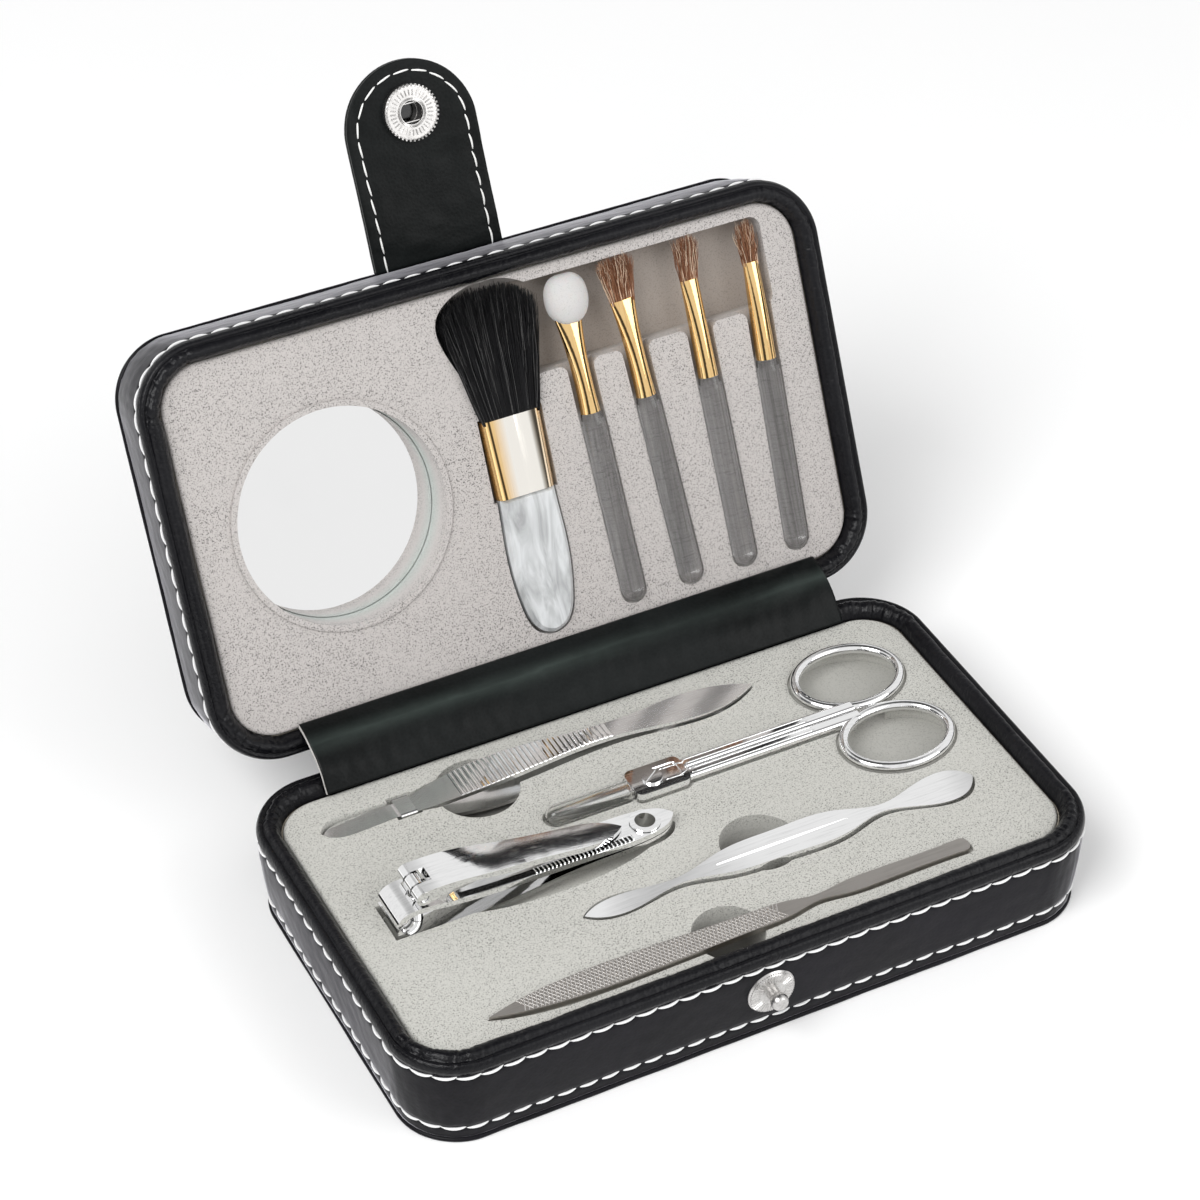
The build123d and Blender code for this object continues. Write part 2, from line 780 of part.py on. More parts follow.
upper_top = [(0, jaw_upper), (0.022, 4.9), (0.078, 5.7), (0.172, 5.1), (0.375, 3.9), (0.625, 3.1)]
upper_top += [(0.8125, 2.95), (1, rear_top)]
upper_under = [(0.014, jaw_upper), (0.036, 3.9), (0.078, 4.4), (0.172, 3.8), (0.375, 2.6), (0.625, 1.8)]
upper_under += [(0.8125, 1.65), (1, rear_seam)]
lower_top = [(0.014, jaw_lower), (0.036, -0.2), (0.078, -1.1), (0.172, -1.2), (0.375, -0.5), (0.625, 0.8)]
lower_top += [(0.8125, 1.35), (1, 1.5)]
lower_under = [(0, jaw_lower), (0.022, -1.3), (0.078, -2.4), (0.172, -lower_bow), (0.375, -1.8)]
lower_under += [(0.625, -0.5), (0.8125, 0.05), (1, 0.2)]
upper_arm_side = side_outline(spread(clipper_length, upper_top), spread(clipper_length, upper_under))
lower_arm_side = side_outline(spread(clipper_length, lower_top), spread(clipper_length, lower_under))

with BuildPart() as clipper_arm_lower:
    add(shaped(clipper_plane, clipper_plan, lower_arm_side, clipper_width))
    with BuildSketch(on(clipper_plane, eyelet_x, 0, -clipper_width)):
        Circle(eyelet_diameter / 2 - eyelet_flange)
    extrude(amount=2 * clipper_width, mode=Mode.SUBTRACT)
    with BuildSketch(on(clipper_plane, post_x, 0, -clipper_width)):
        Circle(post_diameter / 2 + tool_fit)
    extrude(amount=2 * clipper_width, mode=Mode.SUBTRACT)
save(clipper_arm_lower.part, "clipper_arm_lower")

with BuildPart() as clipper_arm_upper:
    add(shaped(clipper_plane, clipper_plan, upper_arm_side, clipper_width))
    with BuildSketch(on(clipper_plane, eyelet_x, 0, -clipper_width)):
        Circle(eyelet_diameter / 2 - eyelet_flange + tool_fit)
    extrude(amount=2 * clipper_width, mode=Mode.SUBTRACT)
    with BuildSketch(on(clipper_plane, post_x, 0, -clipper_width)):
        Circle(post_diameter / 2 + 4 * tool_fit)
    extrude(amount=2 * clipper_width, mode=Mode.SUBTRACT)
save(clipper_arm_upper.part, "clipper_arm_upper")

with BuildPart() as clipper_eyelet:
    with BuildSketch(on(clipper_plane, eyelet_x, 0, -tool_fit)):
        Circle(eyelet_diameter / 2 - eyelet_flange - tool_fit)
    extrude(amount=rear_top + 2 * tool_fit)
    with BuildSketch(on(clipper_plane, eyelet_x, 0, rear_top + tool_fit)):
        Circle(eyelet_diameter / 2)
    extrude(amount=eyelet_flange)
    with BuildSketch(on(clipper_plane, eyelet_x, 0, -tool_fit)):
        Circle(eyelet_diameter / 2)
    extrude(amount=-eyelet_flange)
    with BuildSketch(on(clipper_plane, eyelet_x, 0, -clipper_width)):
        Circle(eyelet_hole / 2)
    extrude(amount=2 * clipper_width, mode=Mode.SUBTRACT)
save(clipper_eyelet.part, "clipper_eyelet")

post_head_top = -lower_bow - tool_fit
post_eye = pin_diameter / 2 + post_eye_wall
with BuildPart() as clipper_post:
    with BuildSketch(on(clipper_plane, post_x, 0, post_head_top)):
        Circle(post_diameter / 2 + post_head_overhang)
    extrude(amount=-post_head)
    with BuildSketch(on(clipper_plane, post_x, 0, post_head_top)):
        Circle(post_diameter / 2)
    extrude(amount=pin_height - post_head_top)
    with BuildSketch(side_of(clipper_plane)):
        with Locations((post_x, pin_height)):
            Circle(post_eye)
    extrude(amount=post_diameter / 2 + 2 * tool_fit, both=True)
    with BuildSketch(side_of(clipper_plane)):
        with Locations((post_x, pin_height)):
            Circle(pin_diameter / 2 + pin_fit)
    extrude(amount=post_diameter, both=True, mode=Mode.SUBTRACT)
save(clipper_post.part, "clipper_post")

with BuildPart() as clipper_pin:
    with BuildSketch(side_of(clipper_plane)):
        with Locations((post_x, pin_height)):
            Circle(pin_diameter / 2)
    extrude(amount=lever_width / 2 - pin_end_gap, both=True)
save(clipper_pin.part, "clipper_pin")

lever_length = clipper_length - lever_from_rear - post_x
lever_start = post_x - ear_diameter / 2
lever_stations = [(0, 1), (0.3, 0.95), (0.69, 0.74), (0.94, 0.43), (1, 0)]
lever_top = [(0, 9.6), (0.17, 9.5), (0.387, 8.0), (0.604, 6.5), (0.778, 5.4), (1, 4.1)]
lever_under = [(0, pin_height - ear_diameter / 2), (0.072, 6.9), (0.17, 7.9), (0.387, 6.5)]
lever_under += [(0.604, 5.1), (0.778, 4.1), (1, 3.2)]
lever_side = side_outline(
    spread(lever_length, lever_top, post_x),
    spread(lever_length, lever_under, post_x),
)
with BuildSketch() as lever_plan:
    with Locations((lever_start, 0)):
        add(leaf_outline(lever_length + ear_diameter / 2, lever_width, lever_stations))

with BuildPart() as clipper_lever:
    add(shaped(clipper_plane, lever_plan.sketch, lever_side, lever_width))
    with BuildSketch(side_of(clipper_plane)):
        with Locations((post_x, pin_height)):
            Circle(ear_diameter / 2)
    extrude(amount=lever_width / 2, both=True)
    with BuildSketch(on(clipper_plane, post_x, 0)):
        Rectangle(2 * (post_eye + lever_fork_room), post_diameter + 2 * lever_side_room)
    extrude(amount=2 * pin_height, mode=Mode.SUBTRACT)
    with BuildSketch(side_of(clipper_plane)):
        with Locations((post_x, pin_height)):
            Circle(pin_diameter / 2 + 2 * pin_fit)
    extrude(amount=lever_width, both=True, mode=Mode.SUBTRACT)
save(clipper_lever.part, "clipper_lever")

# ---------------------------------------------------------------- cuticle pusher
pusher_left = half_length - pusher_from_right - pusher_length
pusher_plane = on(base_deck, pusher_left, pusher_y)
pusher_spoon = [(0, 0), (0.05, 0.52), (0.13, 0.55), (0.235, 0.21)]
pusher_grip = [(0.36, 0.79), (0.5, 0.93), (0.65, 0.84), (0.755, 0.25)]
pusher_blade = [(0.87, 0.85), (0.95, 0.97), (1, 0)]
pusher_stations = pusher_spoon + pusher_grip + pusher_blade
pusher_plan = leaf_outline(pusher_length, pusher_width, pusher_stations)
pusher_top = [(0, 0.3), (0.14, 0.3), (0.25, 1.0), (0.5, pusher_crown), (0.73, 1.0), (0.87, 0.5), (1, 0.9)]
pusher_under = [(0, -0.4), (0.14, -0.6), (0.25, -1.3), (0.5, -pusher_belly), (0.73, -1.2), (0.87, -0.4)]
pusher_under += [(1, 0.3)]
pusher_side = side_outline(spread(pusher_length, pusher_top), spread(pusher_length, pusher_under))
with BuildPart() as cuticle_pusher:
    add(shaped(pusher_plane, pusher_plan, pusher_side, pusher_width))
    with BuildSketch(on(pusher_plane, 0.5 * pusher_length, 0, pusher_crown + pusher_groove_depth)):
        SlotOverall(0.34 * pusher_length, pusher_groove_width)
    extrude(amount=-2 * pusher_groove_depth, mode=Mode.SUBTRACT)
save(cuticle_pusher.part, "cuticle_pusher")

# ---------------------------------------------------------------- nail file
file_left = file_middle_x - file_length / 2
file_y = file_from_front - base_insert_depth / 2
file_plane = on(base_deck, file_left, file_y, file_top)
file_blade = [(0, 0), (0.06, 0.5), (0.265, 1), (0.55, 0.77), (0.62, 0.6), (0.67, 0.27)]
file_tang = [(0.73, 0.5), (0.8, 0.58), (1, 0.6)]
file_stations = file_blade + file_tang
file_plan = leaf_outline(file_length, file_width, file_stations, file_end_round)
with BuildPart() as nail_file:
    with BuildSketch(file_plane):
        add(file_plan)
    extrude(amount=-file_thickness)
save(nail_file.part, "nail_file")

# ---------------------------------------------------------------- base insert
room = 2 * pocket_clearance
ring_pocket_length = 2 * ring_half_length + ring_wire + room
ring_pocket_width = 2 * ring_half_width + ring_wire + room


def notch(deck, x, y, radius):
    """Finger notch: a round well with a rounded floor."""
    with BuildPart() as well:
        with BuildSketch(on(deck, x, y)):
            Circle(radius)
        extrude(amount=-notch_depth)
        fillet(well.edges().group_by(Axis(deck.origin, deck.z_dir))[0], notch_round)
    return well.part


with BuildSketch() as scissors_ring_pocket:
    with Locations((ring_centre_x, scissors_y + ring_y), (ring_centre_x, scissors_y - ring_y)):
        Ellipse(ring_pocket_length / 2, ring_pocket_width / 2)

with BuildSketch() as scissors_boss_pocket:
    with Locations((scissors_pivot_x + boss_shift, scissors_y)):
        RectangleRounded(boss_length + room, boss_width + room, boss_corner + pocket_clearance)
    with Locations((scissors_pivot_x, scissors_y)):
        Rectangle(pivot_to_ring, 2 * shank_width + shank_gap + room, align=(Align.MIN, Align.CENTER))
        Rectangle(boss_length, guard_diameter + room, align=(Align.MAX, Align.CENTER))

with BuildSketch() as guard_pocket:
    with Locations((scissors_pivot_x + guard_start + guard_length / 2, scissors_y)):
        SlotOverall(guard_length + room, guard_diameter + room)

with BuildSketch() as tweezers_pocket:
    with Locations((tweezers_left + spade_length + collar_length, tweezers_y)):
        add(leaf_pocket(tweezers_arm_length, tweezers_width, arm_stations))
    with Locations((tweezers_left + spade_length + collar_length / 2, tweezers_y)):
        Rectangle(collar_length + 2 * room, collar_width + room)
    with Locations((tweezers_left, tweezers_y)):
        add(leaf_pocket(spade_length, spade_width, spade_stations))

with BuildSketch() as clipper_pocket:
    with Locations((clipper_front, clipper_y)):
        add(leaf_pocket(clipper_length, clipper_width, clipper_stations))
    with Locations((clipper_front + 0.55 * clipper_length, clipper_y)):
        Ellipse(0.4 * clipper_length, 0.8 * clipper_width)

with BuildSketch() as pusher_pocket:
    with Locations((pusher_left, pusher_y)):
        add(leaf_pocket(pusher_length, pusher_width, pusher_stations))

with BuildSketch() as file_pocket:
    with Locations((file_left, file_y)):
        add(leaf_pocket(file_length, file_width, file_stations, file_end_round))

tweezers_depth = 2 * tweezers_arm + tweezers_bow - tweezers_top + pocket_floor_gap
post_depth = post_head - post_head_top + pocket_floor_gap
base_pockets = [
    (tweezers_pocket.sketch, tweezers_depth),
    (scissors_ring_pocket.sketch, ring_depth),
    (scissors_boss_pocket.sketch, ring_wire / 2 - scissors_middle + pocket_floor_gap),
    (guard_pocket.sketch, guard_diameter / 2 - scissors_middle + pocket_floor_gap),
    (clipper_pocket.sketch, post_depth),
    (pusher_pocket.sketch, pusher_belly + pocket_floor_gap),
    (file_pocket.sketch, file_thickness - file_top + pocket_floor_gap),
]

notches = [
    (tweezers_left + 0.34 * tweezers_length, tweezers_y - tweezers_notch_shift, tweezers_notch_radius),
    (pusher_left + 0.46 * pusher_length, pusher_y + pusher_notch_shift, pusher_notch_radius),
    (file_left + 0.487 * file_length, file_y, file_notch_radius),
]

with BuildPart() as base_insert:
    add(insert_block(base_deck, deck_height, base_insert_depth))
    for plan, depth in base_pockets:
        with BuildSketch(base_deck):
            add(plan)
        extrude(amount=-depth, mode=Mode.SUBTRACT)
    for x, y, radius in notches:
        add(notch(base_deck, x, y, radius), mode=Mode.SUBTRACT)
    with BuildSketch(stud_plane.offset(former_wall - rivet_length)):
        Circle(rivet_plate_diameter / 2 + tool_fit)
    extrude(amount=-former_wall - rivet_plate_thickness - tool_fit, mode=Mode.SUBTRACT)
save(base_insert.part, "base_insert")

# ---------------------------------------------------------------- mirror
mirror_plane = on(lid_deck, mirror_from_left - half_length, mirror_v)
mirror_diameter = mirror_recess_diameter - 2 * mirror_rim_gap

with BuildPart() as mirror_glass:
    with BuildSketch(mirror_plane.offset(-mirror_depth)):
        Circle(mirror_diameter / 2)
    extrude(amount=-mirror_glass_thickness)
save(mirror_glass.part, "mirror_glass")

with BuildPart() as mirror_backing:
    with BuildSketch(mirror_plane.offset(-mirror_depth - mirror_glass_thickness)):
        Circle(mirror_diameter / 2)
    extrude(amount=-mirror_backing_thickness)
save(mirror_backing.part, "mirror_backing")

# ---------------------------------------------------------------- blush brush
blush_tail_v = blush_tail_margin - lid_insert_depth / 2
blush_length = lid_insert_depth - blush_tail_margin - blush_tip_margin
blush_hair_x = blush_length - blush_hair_length
blush_ferrule_x = blush_hair_x - blush_ferrule_length
blush_plane = on(lid_deck, blush_x, blush_tail_v, x_dir=(0, 1, 0))
blush_middle = blush_top - blush_thickness / 2
blush_handle_stations = [(0, 0), (0.05, 0.5), (0.25, 0.86), (0.6, 1), (1, 0.93)]
blush_hair_stations = [(0, 0.55), (0.4, 0.72), (0.85, 0.9), (0.95, 0.6), (1, 0)]
blush_handle_plan = leaf_outline(blush_ferrule_x, blush_handle_width, blush_handle_stations)
blush_hair_plan = leaf_outline(blush_hair_length, blush_hair_width, blush_hair_stations)

with BuildPart() as blush_handle:
    with BuildSketch(blush_plane.offset(blush_middle - blush_thickness / 2)):
        add(blush_handle_plan)
    extrude(amount=blush_thickness)
    layers = blush_handle.edges().group_by(Axis(lid_deck.origin, lid_deck.z_dir))
    chamfer(layers[0] + layers[-1], blush_bevel)
save(blush_handle.part, "blush_handle")

with BuildPart() as blush_ferrule:
    with BuildSketch(across(blush_plane, blush_ferrule_x, blush_middle)):
        RectangleRounded(
            blush_ferrule_width - blush_ferrule_taper, blush_ferrule_thickness, blush_ferrule_thickness * 0.45
        )
    with BuildSketch(across(blush_plane, blush_hair_x, blush_middle)):
        RectangleRounded(
            blush_ferrule_width, blush_ferrule_thickness - blush_ferrule_taper, blush_ferrule_thickness * 0.4
        )
    loft()
save(blush_ferrule.part, "blush_ferrule")

hair_half = blush_hair_thickness / 2
blush_hair_edge = [(0, 0.6 * hair_half), (0.35, hair_half), (0.8, 0.75 * hair_half), (1, 0.2 * hair_half)]
blush_hair_side = side_outline(
    spread(blush_hair_length, blush_hair_edge),
    spread(blush_hair_length, [(share, -z) for share, z in blush_hair_edge]),
)
blush_hair_plane = on(blush_plane, blush_hair_x, 0, blush_middle)
save(shaped(blush_hair_plane, blush_hair_plan, blush_hair_side, blush_hair_width), "blush_hair")

# ---------------------------------------------------------------- applicators with round handles
applicator_tail_v = applicator_tail_margin - lid_insert_depth / 2
applicator_length = lid_insert_depth - applicator_tail_margin - applicator_tip_margin
head_x = applicator_length - sponge_length
handle_length = head_x - ferrule_length


def applicator_plane(x, lean):
    """Plane of one applicator: origin at its handle's tail, X along its length, leaning in the slot."""
    direction = (sin(radians(lean)), cos(radians(lean)), 0)
    return on(lid_deck, x, applicator_tail_v, handle_centre, x_dir=direction)


def rod_handle(plane):
    """Round acrylic handle with a rounded tail and a stepped neck inside the ferrule."""
    radius = handle_diameter / 2
    with BuildPart() as rod:
        with BuildSketch(plane):
            with BuildLine():
                Line((0, 0), (handle_length, 0))
                Line((handle_length, 0), (handle_length, ferrule_diameter / 2))
                Line((handle_length, ferrule_diameter / 2), (handle_length - handle_neck, radius))
                Line((handle_length - handle_neck, radius), (radius, radius))
                CenterArc((radius, 0), radius, 90, 90)
            make_face()
        revolve(axis=Axis(plane.origin, plane.x_dir))
    return rod.part


def crimped_ferrule(plane, crimp_width):
    """Metal ferrule: round at the handle, crimped flat at the head."""
    with BuildPart() as tube:
        with BuildSketch(across(plane, handle_length)):
            Ellipse(ferrule_diameter / 2, ferrule_diameter / 2)
        with BuildSketch(across(plane, handle_length + 0.5 * ferrule_length)):
            Ellipse(ferrule_diameter * 0.47, ferrule_diameter * 0.45)
        with BuildSketch(across(plane, head_x)):
            Ellipse(crimp_width / 2, ferrule_crimp / 2)
        loft()
    return tube.part


def head_solid(plane, length, width, plan_stations, edge):
    """Soft head on the crimp: a plan outline, and a side edge given for the upper face alone."""
    plan = leaf_outline(length, width, plan_stations)
    side = side_outline(spread(length, edge), spread(length, [(share, -z) for share, z in edge]))
    return shaped(on(plane, head_x, 0), plan, side, width)


def bristle_head(plane, root_width, tip_width, thickness):
    """Flat brush head that widens from the crimp to its rounded tip."""
    half = thickness / 2
    width = max(root_width, tip_width)
    stations = [(0, root_width / width), (0.6, 0.5 * (root_width + tip_width) / width)]
    stations += [(0.92, 0.9 * tip_width / width), (1, 0)]
    return head_solid(plane, bristle_length, width, stations, [(0, 0.7 * half), (0.4, half), (1, 0.3 * half)])


def sponge_egg(plane):
    """Egg-shaped sponge whose flat root sits on the crimp."""
    half = sponge_thickness / 2
    stations = [(0, 0.55), (0.2, 0.88), (0.45, 1), (0.8, 0.72), (1, 0)]
    edge = [(0, 0.5 * half), (0.4, half), (0.85, 0.6 * half), (1, 0.1 * half)]
    return head_solid(plane, sponge_length, sponge_width, stations, edge)


sponge_x = blush_x + sponge_from_blush
liner_x = half_length - liner_from_right
smudge_x = sponge_x + smudge_share * (liner_x - sponge_x)
shader_x = sponge_x + shader_share * (liner_x - sponge_x)
sponge_plane = applicator_plane(sponge_x, sponge_lean)
smudge_plane = applicator_plane(smudge_x, smudge_lean)
shader_plane = applicator_plane(shader_x, shader_lean)
liner_plane = applicator_plane(liner_x, liner_lean)

save(rod_handle(sponge_plane), "sponge_handle")
save(crimped_ferrule(sponge_plane, sponge_crimp), "sponge_ferrule")
save(sponge_egg(sponge_plane), "sponge_tip")

save(rod_handle(smudge_plane), "smudge_handle")
save(crimped_ferrule(smudge_plane, smudge_crimp), "smudge_ferrule")
save(bristle_head(smudge_plane, smudge_root_width, smudge_tip_width, smudge_thickness), "smudge_hair")

save(rod_handle(shader_plane), "shader_handle")
save(crimped_ferrule(shader_plane, shader_crimp), "shader_ferrule")
save(bristle_head(shader_plane, shader_root_width, shader_tip_width, shader_thickness), "shader_hair")

save(rod_handle(liner_plane), "liner_handle")
save(crimped_ferrule(liner_plane, liner_crimp), "liner_ferrule")
save(bristle_head(liner_plane, liner_root_width, liner_tip_width, liner_thickness), "liner_hair")

# ---------------------------------------------------------------- lid insert
with BuildSketch() as blush_pocket:
    with Locations(Location((blush_x, blush_tail_v), 90)):
        add(leaf_pocket(blush_ferrule_x, blush_handle_width, blush_handle_stations))
    with Locations((blush_x, blush_tail_v + blush_ferrule_x + blush_ferrule_length / 2)):
        Rectangle(blush_ferrule_width + room, blush_ferrule_length + room)
    with Locations(Location((blush_x, blush_tail_v + blush_hair_x), 90)):
        add(leaf_pocket(blush_hair_length, blush_hair_width, blush_hair_stations))

head_pocket_right = half_length - head_pocket_from_right
head_pocket_top = lid_insert_depth / 2 - head_pocket_from_top
head_pocket_bottom = head_pocket_top - head_pocket_height
head_pocket_length = head_pocket_right - blush_x
head_pocket_middle = ((blush_x + head_pocket_right) / 2, (head_pocket_bottom + head_pocket_top) / 2)
slot_width = handle_diameter + room
slot_reach = head_pocket_bottom + head_pocket_round - applicator_tail_v
slot_floor = handle_diameter / 2 - handle_centre + pocket_floor_gap
slot_places = [(sponge_x, sponge_lean), (smudge_x, smudge_lean)]
slot_places += [(shader_x, shader_lean), (liner_x, liner_lean)]

# The slots, the pocket across their heads and the brush's own pocket run together, which leaves the
# flocked fins standing between the handles with rounded tops.
with BuildSketch() as slots:
    add(blush_pocket.sketch)
    with Locations(head_pocket_middle):
        RectangleRounded(head_pocket_length, head_pocket_height, head_pocket_round)
    for x, lean in slot_places:
        with Locations(Location((x, applicator_tail_v), 90 - lean)):
            with Locations((slot_width / 2 - pocket_clearance, 0)):
                Circle(slot_width / 2)
                Rectangle(slot_reach, slot_width, align=(Align.MIN, Align.CENTER))
    fin_corners = slots.vertices().filter_by_position(
        Axis.Y, head_pocket_bottom - pin_fit, head_pocket_bottom + pin_fit
    )
    fillet(fin_corners, fin_round)

with BuildPart() as lid_insert:
    add(insert_block(lid_deck, lid_thickness, lid_insert_depth))
    with BuildSketch(mirror_plane):
        Circle(mirror_recess_diameter / 2 + mirror_lip_width)
    extrude(amount=mirror_lip_height)
    with BuildSketch(mirror_plane.offset(mirror_lip_height)):
        Circle(mirror_recess_diameter / 2)
    extrude(
        amount=-mirror_lip_height - mirror_depth - mirror_glass_thickness - mirror_backing_thickness,
        mode=Mode.SUBTRACT,
    )
    with BuildSketch(lid_deck):
        add(blush_pocket.sketch)
    extrude(amount=-hair_half + blush_middle - pocket_floor_gap, mode=Mode.SUBTRACT)
    with BuildSketch(lid_deck):
        with Locations(head_pocket_middle):
            RectangleRounded(head_pocket_length, head_pocket_height, head_pocket_round)
    extrude(amount=-head_pocket_depth, mode=Mode.SUBTRACT)
    with BuildSketch(lid_deck):
        add(slots.sketch)
    extrude(amount=-slot_floor, mode=Mode.SUBTRACT)
save(lid_insert.part, "lid_insert")
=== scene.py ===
# %% [markdown]
# # A manicure set in a black leather case
# The case lies open like a small book: a base tray with the steel tools, and a lid tray with the mirror
# and the make-up tools. The hard parts come from the CAD frame and only need their finishes. The soft
# parts (padded rims, leather walls, hinge strip, strap, hair and sponge) are modelled here as meshes.

from math import cos, pi, radians, sin, tan

import bmesh
import bpy
import numpy as np
from mathutils import Matrix, Vector, noise
from mathutils.bvhtree import BVHTree


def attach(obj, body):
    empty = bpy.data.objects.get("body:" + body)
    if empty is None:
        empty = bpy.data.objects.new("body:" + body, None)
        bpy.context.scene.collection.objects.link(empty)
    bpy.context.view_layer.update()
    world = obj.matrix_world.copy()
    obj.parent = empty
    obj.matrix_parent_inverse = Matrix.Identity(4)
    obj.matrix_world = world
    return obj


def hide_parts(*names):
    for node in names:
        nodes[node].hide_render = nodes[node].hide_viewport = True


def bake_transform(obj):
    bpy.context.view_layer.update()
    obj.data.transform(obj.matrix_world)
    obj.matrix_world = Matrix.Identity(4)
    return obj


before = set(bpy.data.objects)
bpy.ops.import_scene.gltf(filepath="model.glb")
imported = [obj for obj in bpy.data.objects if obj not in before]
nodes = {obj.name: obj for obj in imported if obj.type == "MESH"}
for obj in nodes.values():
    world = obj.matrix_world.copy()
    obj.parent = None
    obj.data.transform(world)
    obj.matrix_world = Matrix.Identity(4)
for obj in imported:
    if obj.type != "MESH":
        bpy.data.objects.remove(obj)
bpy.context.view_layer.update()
scene = bpy.context.scene
MM = 0.001
LEAN = radians(65.0)

# %% [markdown]
# ## Node trees
# Materials and Geometry Nodes are both trees of nodes. One small helper adds a node, fills its sockets
# with values or wires, and returns it, so that each tree below reads as a short list of steps.


# %% A helper that builds trees
class Tree:
    """Adds nodes to one node tree; a socket takes a value, a node's first output or an output socket."""

    def __init__(self, tree):
        self.tree = tree

    def __call__(self, kind, sockets=None, **settings):
        node = self.tree.nodes.new(kind)
        for name, value in settings.items():
            setattr(node, name, value)
        for name, value in (sockets or {}).items():
            self.feed(node.inputs[name], value)
        return node

    def __getitem__(self, name):
        """One of the group's own inputs."""
        return self.entry.outputs[name]

    def give(self, *values):
        """Feeds the group's own outputs, in their order."""
        for socket, value in zip(self.leave.inputs, values):
            self.feed(socket, value)

    def feed(self, socket, value):
        if isinstance(value, bpy.types.Node):
            value = value.outputs[0]
        if isinstance(value, bpy.types.NodeSocket):
            self.tree.links.new(value, socket)
        elif socket.type == "RGBA" and len(value) == 3:
            socket.default_value = (*value, 1.0)
        else:
            socket.default_value = value

    def math(self, operation, a, b=0.0):
        return self("ShaderNodeMath", {0: a, 1: b}, operation=operation)

    def plus(self, a, b):
        return self.math("ADD", a, b)

    def minus(self, a, b):
        return self.math("SUBTRACT", a, b)

    def times(self, a, b):
        return self.math("MULTIPLY", a, b)

    def vector(self, operation, a, b=(0, 0, 0)):
        return self("ShaderNodeVectorMath", {0: a, 1: b}, operation=operation)

    def dot(self, a, b):
        return self.vector("DOT_PRODUCT", a, b).outputs["Value"]

    def scaled(self, a, by):
        return self("ShaderNodeVectorMath", {0: a, "Scale": by}, operation="SCALE")

    def xyz(self, x=0.0, y=0.0, z=0.0):
        return self("ShaderNodeCombineXYZ", {0: x, 1: y, 2: z})

    def axis(self, name, vector):
        return self("ShaderNodeSeparateXYZ", {0: vector}).outputs[name]

    def between(self, value, low, high, to_low=0.0, to_high=1.0):
        sockets = {"Value": value, "From Min": low, "From Max": high, "To Min": to_low, "To Max": to_high}
        return self("ShaderNodeMapRange", sockets)

    def blend(self, factor, a, b):
        mix = self("ShaderNodeMix", {0: factor, 6: a, 7: b}, data_type="RGBA")
        return mix.outputs[2]

    def place(self, lean=None):
        """Object coordinates in metres, turned upright about X where a lean is given."""
        place = self("ShaderNodeTexCoord").outputs["Object"]
        if lean is None:
            return place
        return self("ShaderNodeVectorRotate", {"Vector": place, "Angle": lean}, rotation_type="X_AXIS")

    def noise(self, vector, scale=1.0, detail=3.0, roughness=0.5, distortion=0.0):
        sockets = {"Vector": vector, "Scale": scale, "Detail": detail, "Roughness": roughness,
                   "Distortion": distortion}
        return self("ShaderNodeTexNoise", sockets)


def socket_type(value):
    """The type of socket for a number, a vector of 3 or a colour of 4; a text is a type's own name."""
    if isinstance(value, str):
        return f"NodeSocket{value}"
    kind = "Int" if isinstance(value, int) else {1: "Float", 3: "Vector", 4: "Color"}[np.size(value)]
    return f"NodeSocket{kind}"


def new_group(name, kind, inputs, outputs):
    """A node group and its tree; inputs are names with values or types, outputs names with types."""
    group = bpy.data.node_groups.new(name, kind)
    for label, value in inputs.items():
        socket = group.interface.new_socket(label, in_out="INPUT", socket_type=socket_type(value))
        if not isinstance(value, str):
            socket.default_value = value
    for label, value in outputs.items():
        group.interface.new_socket(label, in_out="OUTPUT", socket_type=socket_type(value))
    tree = Tree(group)
    tree.entry, tree.leave = tree("NodeGroupInput"), tree("NodeGroupOutput")
    return group, tree


def principled(material):
    """The tree of a material and the inputs of its Principled shader."""
    return Tree(material.node_tree), material.node_tree.nodes["Principled BSDF"].inputs


BLACK, WHITE = (0, 0, 0, 1), (1, 1, 1, 1)
ROUGH_SKIN = {"Color": "Color", "Roughness": "Float", "Height": "Float"}
DULL_SKIN = {"Color": "Color", "Height": "Float"}
SHAPE = {"Geometry": "Geometry"}
print("tree helper ready")

# %% [markdown]
# ## Shared surface effects
# Three effects turn up on several finishes: pebbled grain on leather, fine speckle on flock and sponge,
# and the hairline scratches that every metal tool carries. Each is a shader group with named sockets,
# read from Object coordinates in metres, so that a grain keeps its real size on every piece.

# %% Leather grain, speckle and scratches
grain_group, g = new_group(
    "leather grain", "ShaderNodeTree",
    {"Pebbles per metre": 1100.0, "Dark": BLACK, "Light": BLACK, "Roughness": 0.45, "Creasing": 0.3},
    ROUGH_SKIN,
)
place = g.place()
pebbles = g("ShaderNodeTexVoronoi", {"Vector": place, "Scale": g["Pebbles per metre"], "Smoothness": 0.6},
            feature="SMOOTH_F1")
pores = g.noise(place, scale=2600.0, roughness=0.7)
folds = g.noise(place, scale=85.0, detail=5.0, roughness=0.6, distortion=0.8)
crease = g.between(g.math("ABSOLUTE", g.minus(folds, 0.5)), 0.0, 0.05)
crease = g.times(g.minus(1.0, crease), g["Creasing"])
wear = g.between(g.noise(place, scale=32.0, detail=4.0), 0.42, 0.68)
tone = g.plus(g.times(pebbles, 0.5), g.times(wear, 0.5))
height = g.minus(g.plus(g.times(pebbles, 0.7), g.times(pores, 0.45)), crease)
g.give(g.blend(tone, g["Dark"], g["Light"]), g.plus(g["Roughness"], g.times(wear, 0.12)), height)

